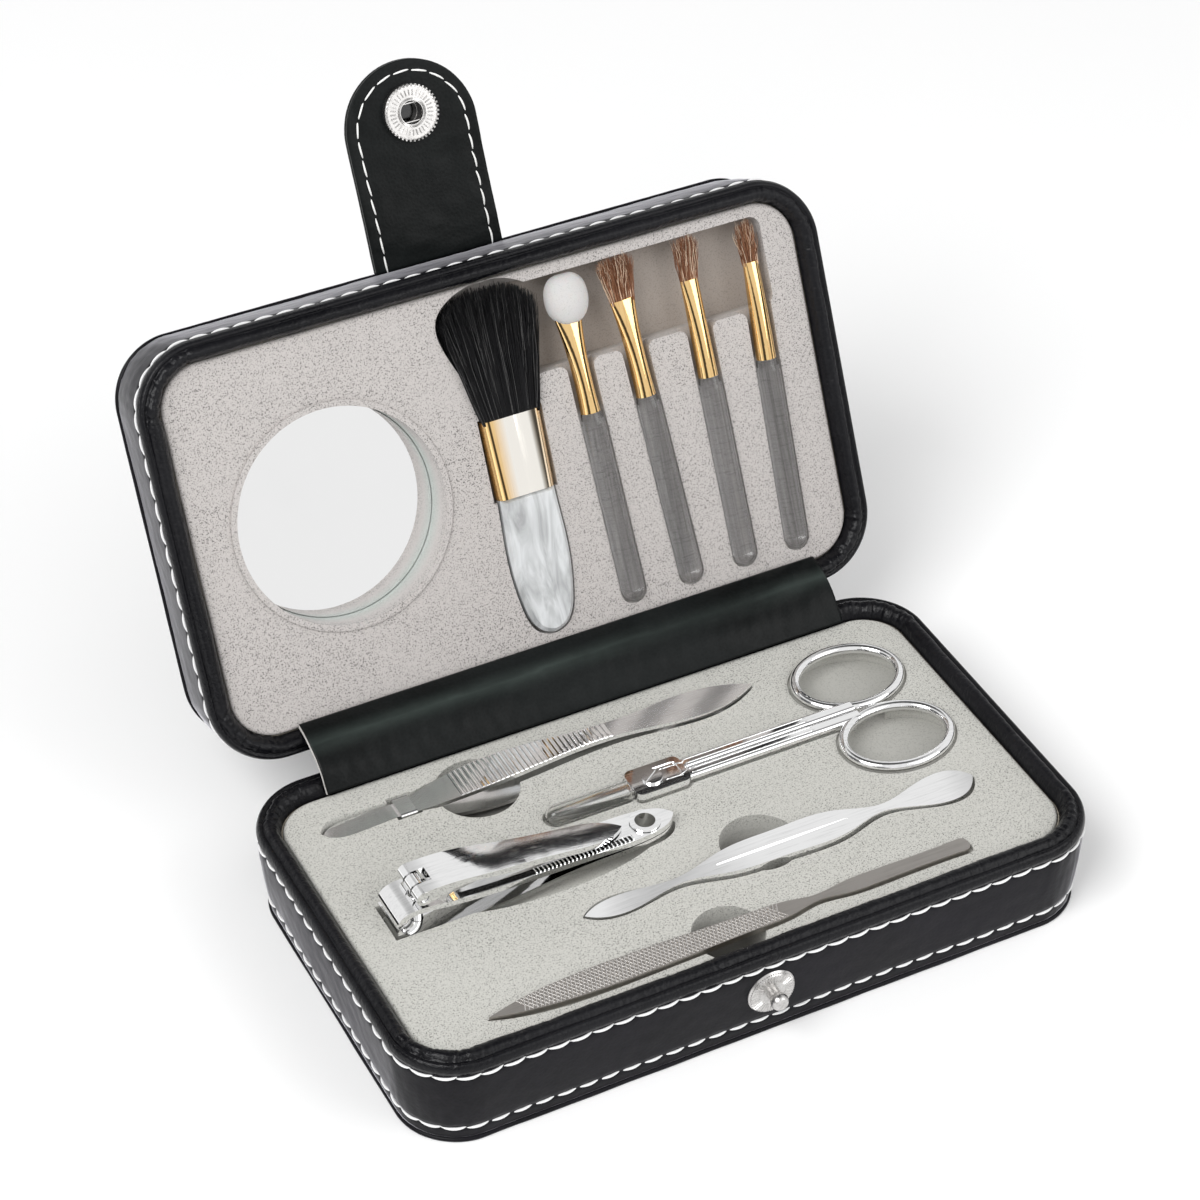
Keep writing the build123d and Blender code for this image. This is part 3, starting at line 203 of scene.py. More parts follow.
speckle_group, g = new_group(
    "speckle", "ShaderNodeTree",
    {"Specks per metre": 2600.0, "Ground": WHITE, "Speck": BLACK, "Speck share": 0.4}, DULL_SKIN,
)
place = g.place()
fibres = g.noise(place, scale=g["Specks per metre"], detail=2.0, roughness=0.8)
mask = g.between(fibres, g["Speck share"], g.plus(g["Speck share"], 0.14), 1.0, 0.0)
mask = g.times(mask, g.between(g.noise(place, scale=60.0), 0.3, 0.7, 0.6, 1.0))
g.give(g.blend(mask, g["Ground"], g["Speck"]), fibres)

scratch_group, g = new_group(
    "scratches", "ShaderNodeTree",
    {"Along": (40.0, 2600.0, 2600.0), "Lean": 0.0, "Roughness": 0.1, "Spread": 0.1, "Bright": WHITE,
     "Dull": WHITE}, ROUGH_SKIN,
)
lines = g.noise(g.vector("MULTIPLY", g.place(g["Lean"]), g["Along"]), roughness=0.65)
dull = g.times(g.between(lines, 0.45, 0.75), g.between(g.noise(g.place(), scale=140.0), 0.35, 0.7))
g.give(g.blend(dull, g["Bright"], g["Dull"]), g.plus(g["Roughness"], g.times(dull, g["Spread"])), lines)
print("shared effects", [grain_group.name, speckle_group.name, scratch_group.name])

# %% [markdown]
# ## Finishes
# Every finish is a Principled surface with one of the shared effects wired into it. Numbers that are the
# same all over a surface sit on the shader's own sockets.


# %% Helpers for finishes
def finish(name, effect=None, effect_values=None, bump=0.0, bump_distance=0.00005, **sockets):
    """A Principled material; effect is a shared group whose outputs feed colour, roughness and bump."""
    material = bpy.data.materials.new(name)
    material.use_nodes = True
    tree, surface = principled(material)
    for socket, value in sockets.items():
        tree.feed(surface[socket.replace("_", " ")], value)
    if effect:
        outputs = tree("ShaderNodeGroup", effect_values, node_tree=effect).outputs
        tree.feed(surface["Base Color"], outputs["Color"])
        if "Roughness" in outputs:
            tree.feed(surface["Roughness"], outputs["Roughness"])
        if bump:
            sockets = {"Height": outputs["Height"], "Strength": bump, "Distance": bump_distance}
            tree.feed(surface["Normal"], tree("ShaderNodeBump", sockets))
    return material


def grey(value, warmth=0.0):
    return (value * (1 + warmth), value, value * (1 - warmth))


def leather(name, pebbles, dark, light, rough, creasing, bump, bump_distance=0.00005, **sockets):
    values = {"Pebbles per metre": pebbles, "Dark": dark, "Light": light, "Roughness": rough,
              "Creasing": creasing}
    return finish(name, grain_group, values, bump, bump_distance, **sockets)


def speckled(name, specks, ground, speck, bump, share=0.4, bump_distance=0.00005, **sockets):
    values = {"Specks per metre": specks, "Ground": ground, "Speck": speck, "Speck share": share}
    return finish(name, speckle_group, values, bump, bump_distance, **sockets)


def scratched(name, along, rough, spread, bright, dull, lean=0.0, **sockets):
    values = {"Along": along, "Lean": lean, "Roughness": rough, "Spread": spread, "Bright": bright,
              "Dull": dull}
    return finish(name, scratch_group, values, **sockets)


def metal(name, along, rough, spread, bright, dull, bump=0.06, lean=0.0):
    return scratched(name, along, rough, spread, bright, dull, lean, bump=bump, bump_distance=0.00002,
                     Metallic=1.0)


def hair(name, rough, bright, dull, **sockets):
    return scratched(name, (2600, 300, 300), rough, 0.2, bright, dull, -LEAN, **sockets)


print("finish helpers ready")

# %% [markdown]
# ## Flock
# The inserts are flocked: short fibres on a moulded tray. Shade is painted into the pockets: their colour
# darkens with the depth below the deck. One side of a pocket is painted lighter, as if it caught more
# light, and that painted colour is a named input too.

# %% Flock with shade painted into the recesses
flock_group, g = new_group(
    "flock", "ShaderNodeTree",
    {"Lean": 0.0, "Deck": 0.0, "Ground": WHITE, "Speck": BLACK, "Recess": BLACK, "Thin from": 0.0045,
     "Thin to": 0.0068, "Lit side": (1, 0, 0), "Lit edge": -1.0, "Lit recess": BLACK}, DULL_SKIN,
)
upright = g.place(g["Lean"])
depth = g.minus(g["Deck"], g.axis("Z", upright))
# Painted shade: the flock colour darkens with the depth below the deck.
recess_shade = g.between(depth, g["Thin from"], g["Thin to"], 0.0, 0.9)
# Painted light: past the lit edge a pocket takes the lighter Lit recess colour instead of the painted shade.
beyond = g.minus(g.dot(upright, g["Lit side"]), g["Lit edge"])
recess = g.blend(g.between(beyond, 0.0, 0.001), g["Lit recess"], g["Recess"])
ground = g.blend(recess_shade, g["Ground"], recess)
speck = g.blend(g.between(depth, 0.0012, 0.0030, 0.0, 0.65), g["Speck"], ground)
specks = g("ShaderNodeGroup", {"Ground": ground, "Speck": speck, "Specks per metre": 3000.0,
                               "Speck share": 0.345}, node_tree=speckle_group)
g.give(specks.outputs["Color"], specks.outputs["Height"])
print("flock", len(flock_group.nodes), "nodes")

# %% Leather, thread and flock
black_leather = leather("black_leather", 1300.0, (0.004, 0.004, 0.005), (0.012, 0.011, 0.015), 0.36, 0.25,
                        0.42, Specular_IOR_Level=0.11, Sheen_Weight=0.90, Sheen_Roughness=0.20,
                        Sheen_Tint=(0.94, 0.93, 1.0))
strip_leather = leather("strip_leather", 1500.0, (0.003, 0.0035, 0.0035), (0.009, 0.011, 0.011), 0.33,
                        0.12, 0.60, 0.00007, Specular_IOR_Level=0.12)
rim_leather = leather("rim_leather", 1500.0, (0.002, 0.002, 0.003), (0.008, 0.008, 0.010), 0.25, 0.5,
                      0.95, 0.00010, Specular_IOR_Level=0.20)
raw_edge = speckled("raw_leather_edge", 3000.0, (0.75, 0.73, 0.70), (0.25, 0.24, 0.23), 0.4, Roughness=0.9)
white_thread = speckled("white_thread", 3600.0, (0.88, 0.88, 0.86), (0.62, 0.61, 0.59), 0.5, 0.34,
                        Roughness=0.6, Sheen_Weight=0.3, Sheen_Roughness=0.5)
case_board = speckled("case_board", 1500.0, (0.30, 0.27, 0.22), (0.18, 0.16, 0.13), 0.4, Roughness=0.95)
wall_foam = speckled("wall_foam", 2000.0, grey(0.05), grey(0.02), 0.6, Roughness=1.0)
FLOCK_INPUTS = ("Lean", "Deck", "Ground", "Speck", "Recess", "Thin from", "Thin to", "Lit side", "Lit edge",
                "Lit recess")
# Each row gives lean, deck, ground, speck, painted recess shade, where that shade starts and ends, lit side,
# lit edge and painted lit recess colour.
lid_flock, base_flock = [
    finish(name, flock_group, dict(zip(FLOCK_INPUTS, values)), 0.5, 0.00010, Roughness=0.95,
           Sheen_Weight=0.15, Sheen_Roughness=0.6)
    for name, *values in (
        ("lid_flock", -LEAN, -0.03557, (0.47, 0.443, 0.428), (0.05, 0.048, 0.045), (0.28, 0.235, 0.195),
         0.0030, 0.0070, (1, 0, 0), -0.0145, (0.40, 0.44, 0.415)),
        ("base_flock", 0.0, 0.0206, (0.52, 0.515, 0.480), (0.08, 0.078, 0.07), (0.11, 0.105, 0.095),
         0.0036, 0.0066, (0, 1, 0), -0.0370, (0.50, 0.497, 0.462)))]
print("soft finishes", [m.name for m in (black_leather, rim_leather, raw_edge, white_thread, lid_flock)])

# %% Metals, clear plastic, glass, hair and sponge
chrome = metal("chrome", (60, 1800, 1800), 0.035, 0.08, grey(0.93), grey(0.76))
brushed_steel = metal("brushed_steel", (70, 3200, 3200), 0.12, 0.14, grey(0.91), grey(0.75, 0.01), 0.12)
# Near-black metal used as painted shade in the clipper's gap and the socket's hole.
shade_chrome = metal("shade_chrome", (60, 1800, 1800), 0.12, 0.10, grey(0.045), grey(0.12), 0.05)
file_steel = metal("file_steel", (90, 2600, 2600), 0.34, 0.22, grey(0.42, 0.06), grey(0.30, 0.07), 0.3)
file_bright = metal("file_bright", (900, 900, 900), 0.22, 0.15, grey(0.66, 0.03), grey(0.44, 0.04), 0.1)
nickel = metal("nickel", (900, 900, 900), 0.27, 0.16, grey(0.60, 0.02), grey(0.40, 0.03), 0.15)
gold_brass = metal("gold_brass", (2400, 60, 2400), 0.05, 0.10, (0.97, 0.67, 0.31), (0.72, 0.40, 0.15),
                   lean=-LEAN)
crowned_gold = gold_brass.copy()
crowned_gold.name = "crowned_gold"
mirror_silver = metal("mirror_silver", (30, 30, 30), 0.0, 0.015, grey(0.97), grey(0.95), 0.0)
clear_sleeve = scratched("clear_sleeve", (60, 900, 900), 0.08, 0.12, (0.97, 0.97, 0.96),
                         (0.90, 0.90, 0.88), bump=0.1, bump_distance=0.00003, Transmission_Weight=1.0,
                         IOR=1.40)
black_hair = hair("black_hair", 0.40, (0.003, 0.003, 0.004), (0.012, 0.011, 0.011), Specular_IOR_Level=0.28)
brown_hair = hair("brown_hair", 0.42, (0.22, 0.085, 0.036), (0.48, 0.24, 0.12), Specular_IOR_Level=0.6)
grey_hair = hair("grey_hair", 0.35, grey(0.10), (0.30, 0.29, 0.28))
pale_hair = hair("pale_hair", 0.4, (0.80, 0.62, 0.46), (0.50, 0.30, 0.18))
white_sponge = speckled("white_sponge", 4200.0, (0.55, 0.54, 0.53), (0.40, 0.39, 0.38), 0.35, 0.30, 0.00008,
                        Roughness=0.95, Subsurface_Weight=0.15, Subsurface_Scale=0.001)
print("metal, clear, hair and sponge finishes ready")

# %% [markdown]
# ## Finishes that follow a shape
# Two finishes change across one piece. A highlight is painted along the crest of the hinge strip, so its
# colour turns paler near one line. The wide ferrule is a flat oval in the CAD part; a bump with a round
# profile gives it the crowned look of pressed brass, and a painted highlight, a pale band, follows its
# middle.

# %% Painted highlight along the crest of the hinge strip
CREST_Y, CREST_WIDTH = 0.0462, 0.0034
g, surface = principled(strip_leather)
# Painted highlight: the strip's colour turns paler near the crest line, patchy along it.
away = g.math("ABSOLUTE", g.minus(g.axis("Y", g.place()), CREST_Y))
crest_highlight = g.math("POWER", g.between(away, 0.0, CREST_WIDTH, 1.0, 0.0), 1.6)
patchy = g.noise(g.vector("MULTIPLY", g.place(), (45, 260, 260)))
crest_highlight = g.times(crest_highlight, g.between(patchy, 0.35, 0.68, 0.35, 1.0))
colour = surface["Base Color"]
g.feed(colour, g.blend(crest_highlight, colour.links[0].from_socket, (0.036, 0.046, 0.042)))
print("crest at", CREST_Y)

# %% Crown and painted highlight of the wide ferrule
CROWN_MIDDLE, CROWN_RADIUS = 0.0003, 0.020
HIGHLIGHT_SHIFT, HIGHLIGHT_FROM, HIGHLIGHT_TO = 0.0008, 0.0028, 0.0056
g, surface = principled(crowned_gold)
from_middle = g.minus(g.axis("X", g.place()), CROWN_MIDDLE)
bulge = g.math("DIVIDE", g.times(from_middle, from_middle), -2 * CROWN_RADIUS)
g.feed(surface["Normal"], g("ShaderNodeBump", {"Height": bulge, "Strength": 1.0, "Distance": 1.0}))
# Painted highlight: a near-white band of colour runs along the ferrule's middle.
off_highlight = g.between(g.math("ABSOLUTE", g.minus(from_middle, HIGHLIGHT_SHIFT)), HIGHLIGHT_FROM, HIGHLIGHT_TO)
colour = surface["Base Color"]
g.feed(colour, g.blend(off_highlight, (1.0, 0.965, 0.90), colour.links[0].from_socket))
print("crown radius", CROWN_RADIUS)

# %% [markdown]
# ## Pearl handle
# The blush handle is a cast of clear resin with pearl pigment folded through it. Cloudy streaks of silver
# and pale grey run along it and grow darker towards the tail. A low noise stretched along the handle,
# bent by a second noise, gives that swirl, and a little transmission lets its edge go dark like glass. The
# clear handles use the same tree, stretched so far that only fine lines along the rod are left: painted
# streaks of light and shade that stand in for the bright and dark lines a clear rod shows by refraction.

# %% Pearl swirl
pearl_group, g = new_group(
    "pearl", "ShaderNodeTree",
    {"Swirls": (240.0, 60.0, 240.0), "Lean": 0.0, "Roughness": 0.12, "Light": WHITE, "Dark": BLACK,
     "Tail": (0, 0, 0)}, ROUGH_SKIN,
)
upright = g.place(g["Lean"])
swirl = g.noise(g.vector("MULTIPLY", upright, g["Swirls"]), detail=4.0, roughness=0.55, distortion=1.6)
tail_side = g.axis("Y", g.vector("SUBTRACT", upright, g["Tail"]))
shade = g.plus(g.between(swirl, 0.35, 0.70, 0.0, 0.65), g.between(tail_side, 0.0, 0.018, 0.45, 0.0))
g.give(g.blend(g("ShaderNodeClamp", {0: shade}), g["Light"], g["Dark"]),
       g.times(g["Roughness"], g.between(swirl, 0, 1, 0.6, 1.4)), swirl)
pearl_acrylic = finish("pearl_acrylic", pearl_group,
                       {"Lean": -LEAN, "Light": (0.82, 0.84, 0.85), "Dark": grey(0.22)},
                       bump=0.05, Transmission_Weight=0.30, IOR=1.49, Coat_Weight=0.6, Coat_Roughness=0.04)
# Painted light and shade: the pale and grey lines stand in for the rod's refraction streaks.
clear_acrylic = finish("clear_acrylic", pearl_group,
                       {"Swirls": (950, 8, 950), "Lean": -LEAN, "Roughness": 0.04, "Tail": (0, -1, 0),
                        "Light": (0.99, 0.995, 1), "Dark": (0.34, 0.35, 0.36)},
                       bump=0.30, Transmission_Weight=1.0, IOR=1.49)
print("pearl", len(pearl_group.nodes), "nodes")

# %% Give each CAD node its finish
FINISHES = {
    "leather": black_leather, "flock": base_flock, "board": case_board, "foam": wall_foam,
    "nickel": nickel, "steel": brushed_steel, "polished_steel": chrome, "gold": gold_brass,
    "acrylic": clear_acrylic, "clear_sleeve": clear_sleeve, "black_hair": black_hair,
    "brown_hair": brown_hair, "sponge": white_sponge, "mirror": mirror_silver, "card": case_board,
}
OWN_FINISHES = {"lid_insert": lid_flock, "nail_file": file_steel, "blush_ferrule": crowned_gold,
                "blush_handle": pearl_acrylic}
for name, node in nodes.items():
    for index, old in enumerate(node.data.materials):
        node.data.materials[index] = FINISHES[old.name.split(".")[0]]
for name, material in OWN_FINISHES.items():
    nodes[name].data.materials[0] = material
print("finished", len(nodes), "nodes")

# %% [markdown]
# ## Mesh pieces
# Each soft piece is a grid of points: rows that follow a path and columns that follow a cross-section.
# The points are worked out with numpy in the tray's own flat frame, then carried to their place, so the
# finished object sits at the origin with its place in its mesh.

# %% Trays and mesh helpers
CASE_LENGTH, CASE_DEPTH, CORNER = 155.8, 90.0, 14.6
BASE_HEIGHT, LID_HEIGHT = 20.6, 19.0
DRAFT = tan(radians(4.5))
SKIRT = 0.7
BASE_TRAY = Matrix.Translation((0, 0, BASE_HEIGHT))
LID_TRAY = Matrix(((1, 0, 0, 0), (0, cos(LEAN), -sin(LEAN), 69.50), (0, sin(LEAN), cos(LEAN), 64.875),
                   (0, 0, 0, 1)))
NO_TRAY = Matrix.Identity(4)


def carried(points, tray):
    """Points in millimetres of a tray as metres in the shared frame."""
    matrix = np.array(tray)
    return (np.asarray(points, float).reshape(-1, 3) @ matrix[:3, :3].T + matrix[:3, 3]) * MM


def added(name, data):
    """A new object in the scene that holds some data."""
    piece = bpy.data.objects.new(name, data)
    scene.collection.objects.link(piece)
    return piece


def new_piece(name, points, faces, material, tray=NO_TRAY, body=None, replaces=(), smooth=True):
    """A mesh object from points and faces, riding on a body and standing for CAD nodes."""
    mesh = bpy.data.meshes.new(name)
    mesh.from_pydata(carried(points, tray).tolist(), [], [tuple(face) for face in faces])
    mesh.materials.append(material)
    mesh.polygons.foreach_set("use_smooth", [smooth] * len(mesh.polygons))
    tidy_mesh(mesh)
    return dress(added(name, mesh), body, replaces)


def tidy_mesh(mesh, reach=0.00001):
    """Merges doubled points and turns every face outwards."""
    work = bmesh.new()
    work.from_mesh(mesh)
    bmesh.ops.remove_doubles(work, verts=work.verts, dist=reach)
    bmesh.ops.recalc_face_normals(work, faces=work.faces)
    work.to_mesh(mesh)
    work.free()


def dress(piece, body=None, replaces=()):
    if body:
        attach(piece, body)
    if replaces:
        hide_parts(*replaces)
    return piece


def grid(rows, columns, rows_closed=False, columns_closed=False):
    """Faces of a grid whose points are stored row by row."""
    faces = []
    for i in range(rows if rows_closed else rows - 1):
        for j in range(columns if columns_closed else columns - 1):
            a, b = i * columns + j, i * columns + (j + 1) % columns
            c, d = ((i + 1) % rows) * columns + (j + 1) % columns, ((i + 1) % rows) * columns + j
            faces.append((a, b, c, d))
    return faces


def shifted(faces, first):
    """Faces whose points come after the first few of a larger list."""
    return [tuple(i + first for i in face) for face in faces]


def tube_faces(rows, sides):
    """Faces of a tube of rings with both ends closed."""
    last = (rows - 1) * sides
    return grid(rows, sides, False, True) + [tuple(range(sides)), tuple(range(last, last + sides))]


def turns_round(count):
    """Even angles once round a circle."""
    return np.linspace(0, 2 * pi, count, endpoint=False)


def rumple(points, height, wave, seed):
    """Smooth noise at points in millimetres, up to about half the height either way; wave is its length."""
    shift = Vector((seed, -seed, 2 * seed))
    return height * np.array([noise.noise(Vector(p) / wave + shift) for p in np.asarray(points, float)])


def bump_at(value, centre, width):
    return np.exp(-(((value - centre) / width) ** 2))


def face_counts(*pieces):
    return [len(piece.data.polygons) for piece in pieces]


def padded_skin(name, points, faces, material, tray, body, stands_for):
    """A leather skin over padding, riding on a tray's body."""
    piece = new_piece(name, points, faces, material, tray, body, [stands_for])
    return piece


print("trays at", BASE_HEIGHT, "and at", LID_TRAY.translation.to_tuple(2))

# %% [markdown]
# ## The path round the case
# Walls, rims and stitches all follow one rounded rectangle. It is walked once, at an even step, keeping
# the outward direction and the distance gone, and every row of leather is that path moved in or out.

# %% Walk round the case outline
PATH_STEP = 0.45


def case_path(step):
    """Points, outward directions and distances round the case, counterclockwise from the right side."""
    half_x, half_y = CASE_LENGTH / 2 - CORNER, CASE_DEPTH / 2 - CORNER
    centres = [(half_x, half_y), (-half_x, half_y), (-half_x, -half_y), (half_x, -half_y)]
    points, outward = [], []
    for corner, centre in enumerate(centres):
        turns = np.radians(np.linspace(90 * corner, 90 * corner + 90, round(CORNER * pi / 2 / step) + 1))
        directions = np.column_stack([np.cos(turns), np.sin(turns)])
        arc = np.array(centre) + CORNER * directions
        start = np.array(centres[(corner + 1) % 4]) + CORNER * directions[-1]
        run = round(np.linalg.norm(start - arc[-1]) / step)
        straight = arc[-1] + np.outer(np.arange(1, run) / run, start - arc[-1])
        points += [arc, straight]
        outward += [directions, np.tile(directions[-1], (run - 1, 1))]
    points, outward = np.vstack(points), np.vstack(outward)
    gaps = np.linalg.norm(np.diff(points, axis=0, append=points[:1]), axis=1)
    return points, outward, np.concatenate([[0], np.cumsum(gaps)[:-1]])


def swept(section):
    """Grid points: at each point of the case path the section's (inset, height) pairs, as (n, k, 3)."""
    inset, height = section[..., 0], section[..., 1]
    flat = PATH[:, None, :] - OUTWARD[:, None, :] * inset[..., None]
    return np.concatenate([flat, np.broadcast_to(height, inset.shape)[..., None]], axis=2)


def ringed(inset, height):
    """Grid points round the case from insets, one row to each path point, at the same heights."""
    return swept(np.stack([inset, np.broadcast_to(height, inset.shape)], axis=2))


PATH, OUTWARD, GONE = case_path(PATH_STEP)
PATH_LENGTH = GONE[-1] + PATH_STEP
in_corner = (np.abs(PATH[:, 0]) > CASE_LENGTH / 2 - CORNER) & (np.abs(PATH[:, 1]) > CASE_DEPTH / 2 - CORNER)
corner_share = np.convolve(np.tile(in_corner, 3), np.ones(15) / 15, "same")[len(GONE):2 * len(GONE)]
print("round the case", round(PATH_LENGTH, 1), "mm in", len(PATH), "steps")

# %% [markdown]
# ## Leather walls
# Each tray has a band of leather pulled over thin foam. Seams pinch it near both edges, and between them
# it swells a little. The band is drawn as rows at different heights, with the pinch and the swell worked
# in as a change of inset, and every stitch hole gathers the leather into a small pucker.

# %% Leather walls
STITCH_PITCH = 4.8
# Heights below the deck in mm where a seam pinches the wall.
PINCHES = {"base": (-1.3, -16.4), "lid": (-1.3, -17.9)}
WALL_THICKNESS, HEIGHT_STEPS = 0.9, 40
SWELL, SWELL_SHAPE = 0.22, 0.8
PINCH, PINCH_WIDTH, PUCKER, PUCKER_WIDTH = 0.20, 0.55, 0.10, 1.6
TURNED_TOP, TURNED_BOTTOM = 0.45, 0.35


def wall_inset(height):
    """How far the drafted wall leans in at a height below the deck."""
    return (-height - SKIRT) * DRAFT


def leather_wall(name, tray, tray_height, body, seed):
    top, bottom = -SKIRT + 0.25, 1.0 - tray_height
    height = np.linspace(top - 0.15, bottom + 0.25, HEIGHT_STEPS)
    height = np.concatenate([[top], height, [bottom]])
    inset = np.tile(wall_inset(height), (len(PATH), 1))
    inset -= SWELL * np.sin(pi * (height - top) / (bottom - top)) ** SWELL_SHAPE
    pucker = 0.5 + 0.5 * np.cos(2 * pi * GONE / STITCH_PITCH)[:, None]
    for row in PINCHES[body]:
        inset += bump_at(height, row, PINCH_WIDTH) * (PINCH + PUCKER * pucker)
        inset += bump_at(height, row, PUCKER_WIDTH) * PUCKER / 2 * pucker
    inset[:, 0] += TURNED_TOP
    inset[:, -1] += TURNED_BOTTOM
    flat = ringed(inset, height).reshape(-1, 3)
    drift = rumple(flat, height=0.22, wave=19.0, seed=seed)
    drift += rumple(flat, height=0.05, wave=3.0, seed=seed + 5)
    creases = rumple(flat * (1, 1, 0.18), height=0.10, wave=1.6, seed=seed + 9)
    creases *= np.repeat(corner_share, len(height))
    inset += (drift + creases).reshape(inset.shape)
    inner = ringed(inset[:, ::-1] + WALL_THICKNESS, height[::-1])
    points = np.concatenate([ringed(inset, height), inner[:, ::10], inner[:, -1:]], axis=1)
    rows, columns = points.shape[:2]
    return padded_skin(name, points, grid(rows, columns, True, True), black_leather, tray, body,
                       f"{body}_wall_cover")


base_wall = leather_wall("base_wall_leather", BASE_TRAY, BASE_HEIGHT, "base", 1.0)
lid_wall = leather_wall("lid_wall_leather", LID_TRAY, LID_HEIGHT, "lid", 2.0)
print("walls", face_counts(base_wall, lid_wall), "faces")

# %% [markdown]
# ## Padded rims
# A strip of leather is rolled over the edge of each tray: a thin outer fold, a crease, and a soft roll that
# dives down beside the insert. The roll's cross-section is one closed line, swept round the case, and the
# leather gathers in fine pleats where it turns the corners.

# %% Padded rims
RIM_WIDTH = 5.0
# The roll's (share of its inset, height in mm) line; the soft part runs from ROLL_FROM to ROLL_TO.
ROLL_LINE = np.array([
    (0.0, -0.7), (-0.03, 0.2), (0.01, 1.0), (0.06, 1.5), (0.13, 1.72), (0.20, 1.70), (0.25, 1.42),
    (0.28, 1.40), (0.33, 1.85), (0.41, 2.28), (0.50, 2.46), (0.60, 2.45), (0.70, 2.22), (0.79, 1.78),
    (0.87, 1.15), (0.93, 0.45), (0.97, -0.2), (0.99, -0.7), (0.5, -0.7)])
ROLL_FROM, ROLL_TO = 7, 16
PLEAT_PITCH, FINE_PITCH = 1.15, 0.8
OVERLAP_EDGE, OVERLAP_FADE, STEEPEST = 0.12, 0.9, 50


def rim_section(inner):
    """Closed (inset, height) line of the rolled rim; inner is the inset of its inside face."""
    return np.stack([ROLL_LINE[:, 0] * inner[:, None],
                     np.broadcast_to(ROLL_LINE[:, 1], (len(inner), len(ROLL_LINE)))], axis=2)


def padded_rim(name, tray, insert_depth, body, seed, pleats=(), overlap=None):
    end = (CASE_DEPTH - insert_depth) / 2 - 0.15
    section = rim_section(RIM_WIDTH + (end - RIM_WIDTH) * OUTWARD[:, 1] ** 2)
    flat = swept(section).reshape(-1, 3)
    columns = section.shape[1]
    along = np.repeat(GONE, columns)
    share = np.tile(np.arange(columns), len(PATH))
    on_roll = ((share >= ROLL_FROM) & (share <= ROLL_TO)).astype(float)
    soft = rumple(flat, height=0.30, wave=14.0, seed=seed)
    soft += rumple(flat, height=0.10, wave=4.0, seed=seed + 3)
    across_pleats = np.column_stack([along / PLEAT_PITCH, share * 0.16, 0 * along])
    gathers = rumple(across_pleats, height=0.42, wave=1.0, seed=seed + 7)
    gathers *= np.repeat(corner_share, columns)
    across_fine = np.column_stack([along / FINE_PITCH, share * 0.3, 0 * along])
    fine = rumple(across_fine, height=0.12, wave=1.0, seed=seed + 11)
    sink = 0 * along
    for where, width, depth in pleats:
        away = np.minimum(np.abs(along - where), PATH_LENGTH - np.abs(along - where))
        sink += depth * bump_at(away, 0, width)
    move = (soft + gathers + fine - sink) * on_roll
    if overlap:
        start, stop, lift = overlap
        rise = np.clip((along - start) / OVERLAP_EDGE, -STEEPEST, STEEPEST)
        fall = np.clip((along - stop) / OVERLAP_FADE, -STEEPEST, STEEPEST)
        move += lift * on_roll / (1 + np.exp(-rise)) / (1 + np.exp(fall))
    spread = section.reshape(-1, 2) - (RIM_WIDTH * 0.5, 0.2)
    spread /= np.linalg.norm(spread, axis=1)[:, None] + 1e-6
    points = swept(section + (spread * move[:, None]).reshape(section.shape))
    return padded_skin(name, points, grid(len(PATH), columns, True, True), rim_leather, tray, body,
                       f"{body}_rim_roll")


def gone_at(x, y):
    """Distance along the path of its nearest point to (x, y)."""
    return GONE[np.argmin(np.linalg.norm(PATH - (x, y), axis=1))]


# Each pleat's place along the path, its half width and its depth.
lid_pleats = [(gone_at(-66.0, 45.0), 0.5, 0.55), (gone_at(-77.9, 32.0), 0.35, 0.6)]
base_rim = padded_rim("base_rim_leather", BASE_TRAY, 78.4, "base", 3.0)
lid_rim = padded_rim("lid_rim_leather", LID_TRAY, 80.4, "lid", 4.0, lid_pleats,
                     (gone_at(-77.9, 31.0), gone_at(-77.9, 20.0), 0.18))
print("rims", face_counts(base_rim, lid_rim), "faces")

# %% [markdown]
# ## Outer panels
# The flat outside of each tray is one leather panel with a turned edge. Rings of points run from the
# outline to the long middle line of the panel, which keeps the grid even and closes without a pole.

# %% Outer panels
# The panel's turned edge as (inset, height) in mm, from inside the wall to the flat.
PANEL_EDGE = np.array([(0.9, 1.0), (0.12, 0.92), (0.0, 0.62), (0.02, 0.34), (0.14, 0.12), (0.42, 0.0),
                       (1.0, 0.02), (1.6, 0.05), (2.6, 0.02)])
PANEL_RINGS, PANEL_SWELL = 25, 0.10


def outer_panel(name, tray, tray_height, body, stands_for, seed):
    bottom = -tray_height
    section = PANEL_EDGE + (wall_inset(bottom + 1.0) - 0.4, bottom)
    section = np.tile(section, (len(PATH), 1, 1))
    around = np.column_stack([PATH, 0 * GONE])
    section[:, 1:6, 0] += rumple(around, height=0.10, wave=9.0, seed=seed)[:, None]
    rim = swept(section)
    last, lip = rim[:, -1, :], rim[:, :1, :]
    reach = (CASE_LENGTH - CASE_DEPTH) / 2
    spine = np.column_stack([np.clip(last[:, 0], -reach, reach), 0 * GONE, last[:, 2]])
    steps = np.linspace(0, 1, PANEL_RINGS + 1)[1:]
    inside = last[:, None, :] + (spine - last)[:, None, :] * steps[None, :, None]
    soft = PANEL_SWELL + rumple(inside.reshape(-1, 3), height=0.20, wave=16.0, seed=seed)
    inside[..., 2] += soft.reshape(inside.shape[:2])
    points = np.concatenate([rim, inside], axis=1)
    top = (spine * (1, 1, 0) + (0, 0, bottom + 1.0))[:, None, :]
    back = np.concatenate([top, (lip + top) / 2, lip], axis=1)
    rows, columns = points.shape[:2]
    faces = grid(rows, columns, True) + shifted(grid(rows, 3, True), rows * columns)
    everything = np.concatenate([points.reshape(-1, 3), back.reshape(-1, 3)])
    return padded_skin(name, everything, faces, black_leather, tray, body, stands_for)


base_panel = outer_panel("base_panel_leather", BASE_TRAY, BASE_HEIGHT, "base", "base_bottom_panel", 6.0)
lid_panel = outer_panel("lid_panel_leather", LID_TRAY, LID_HEIGHT, "lid", "lid_cover_panel", 7.0)
print("panels", face_counts(base_panel, lid_panel), "faces")
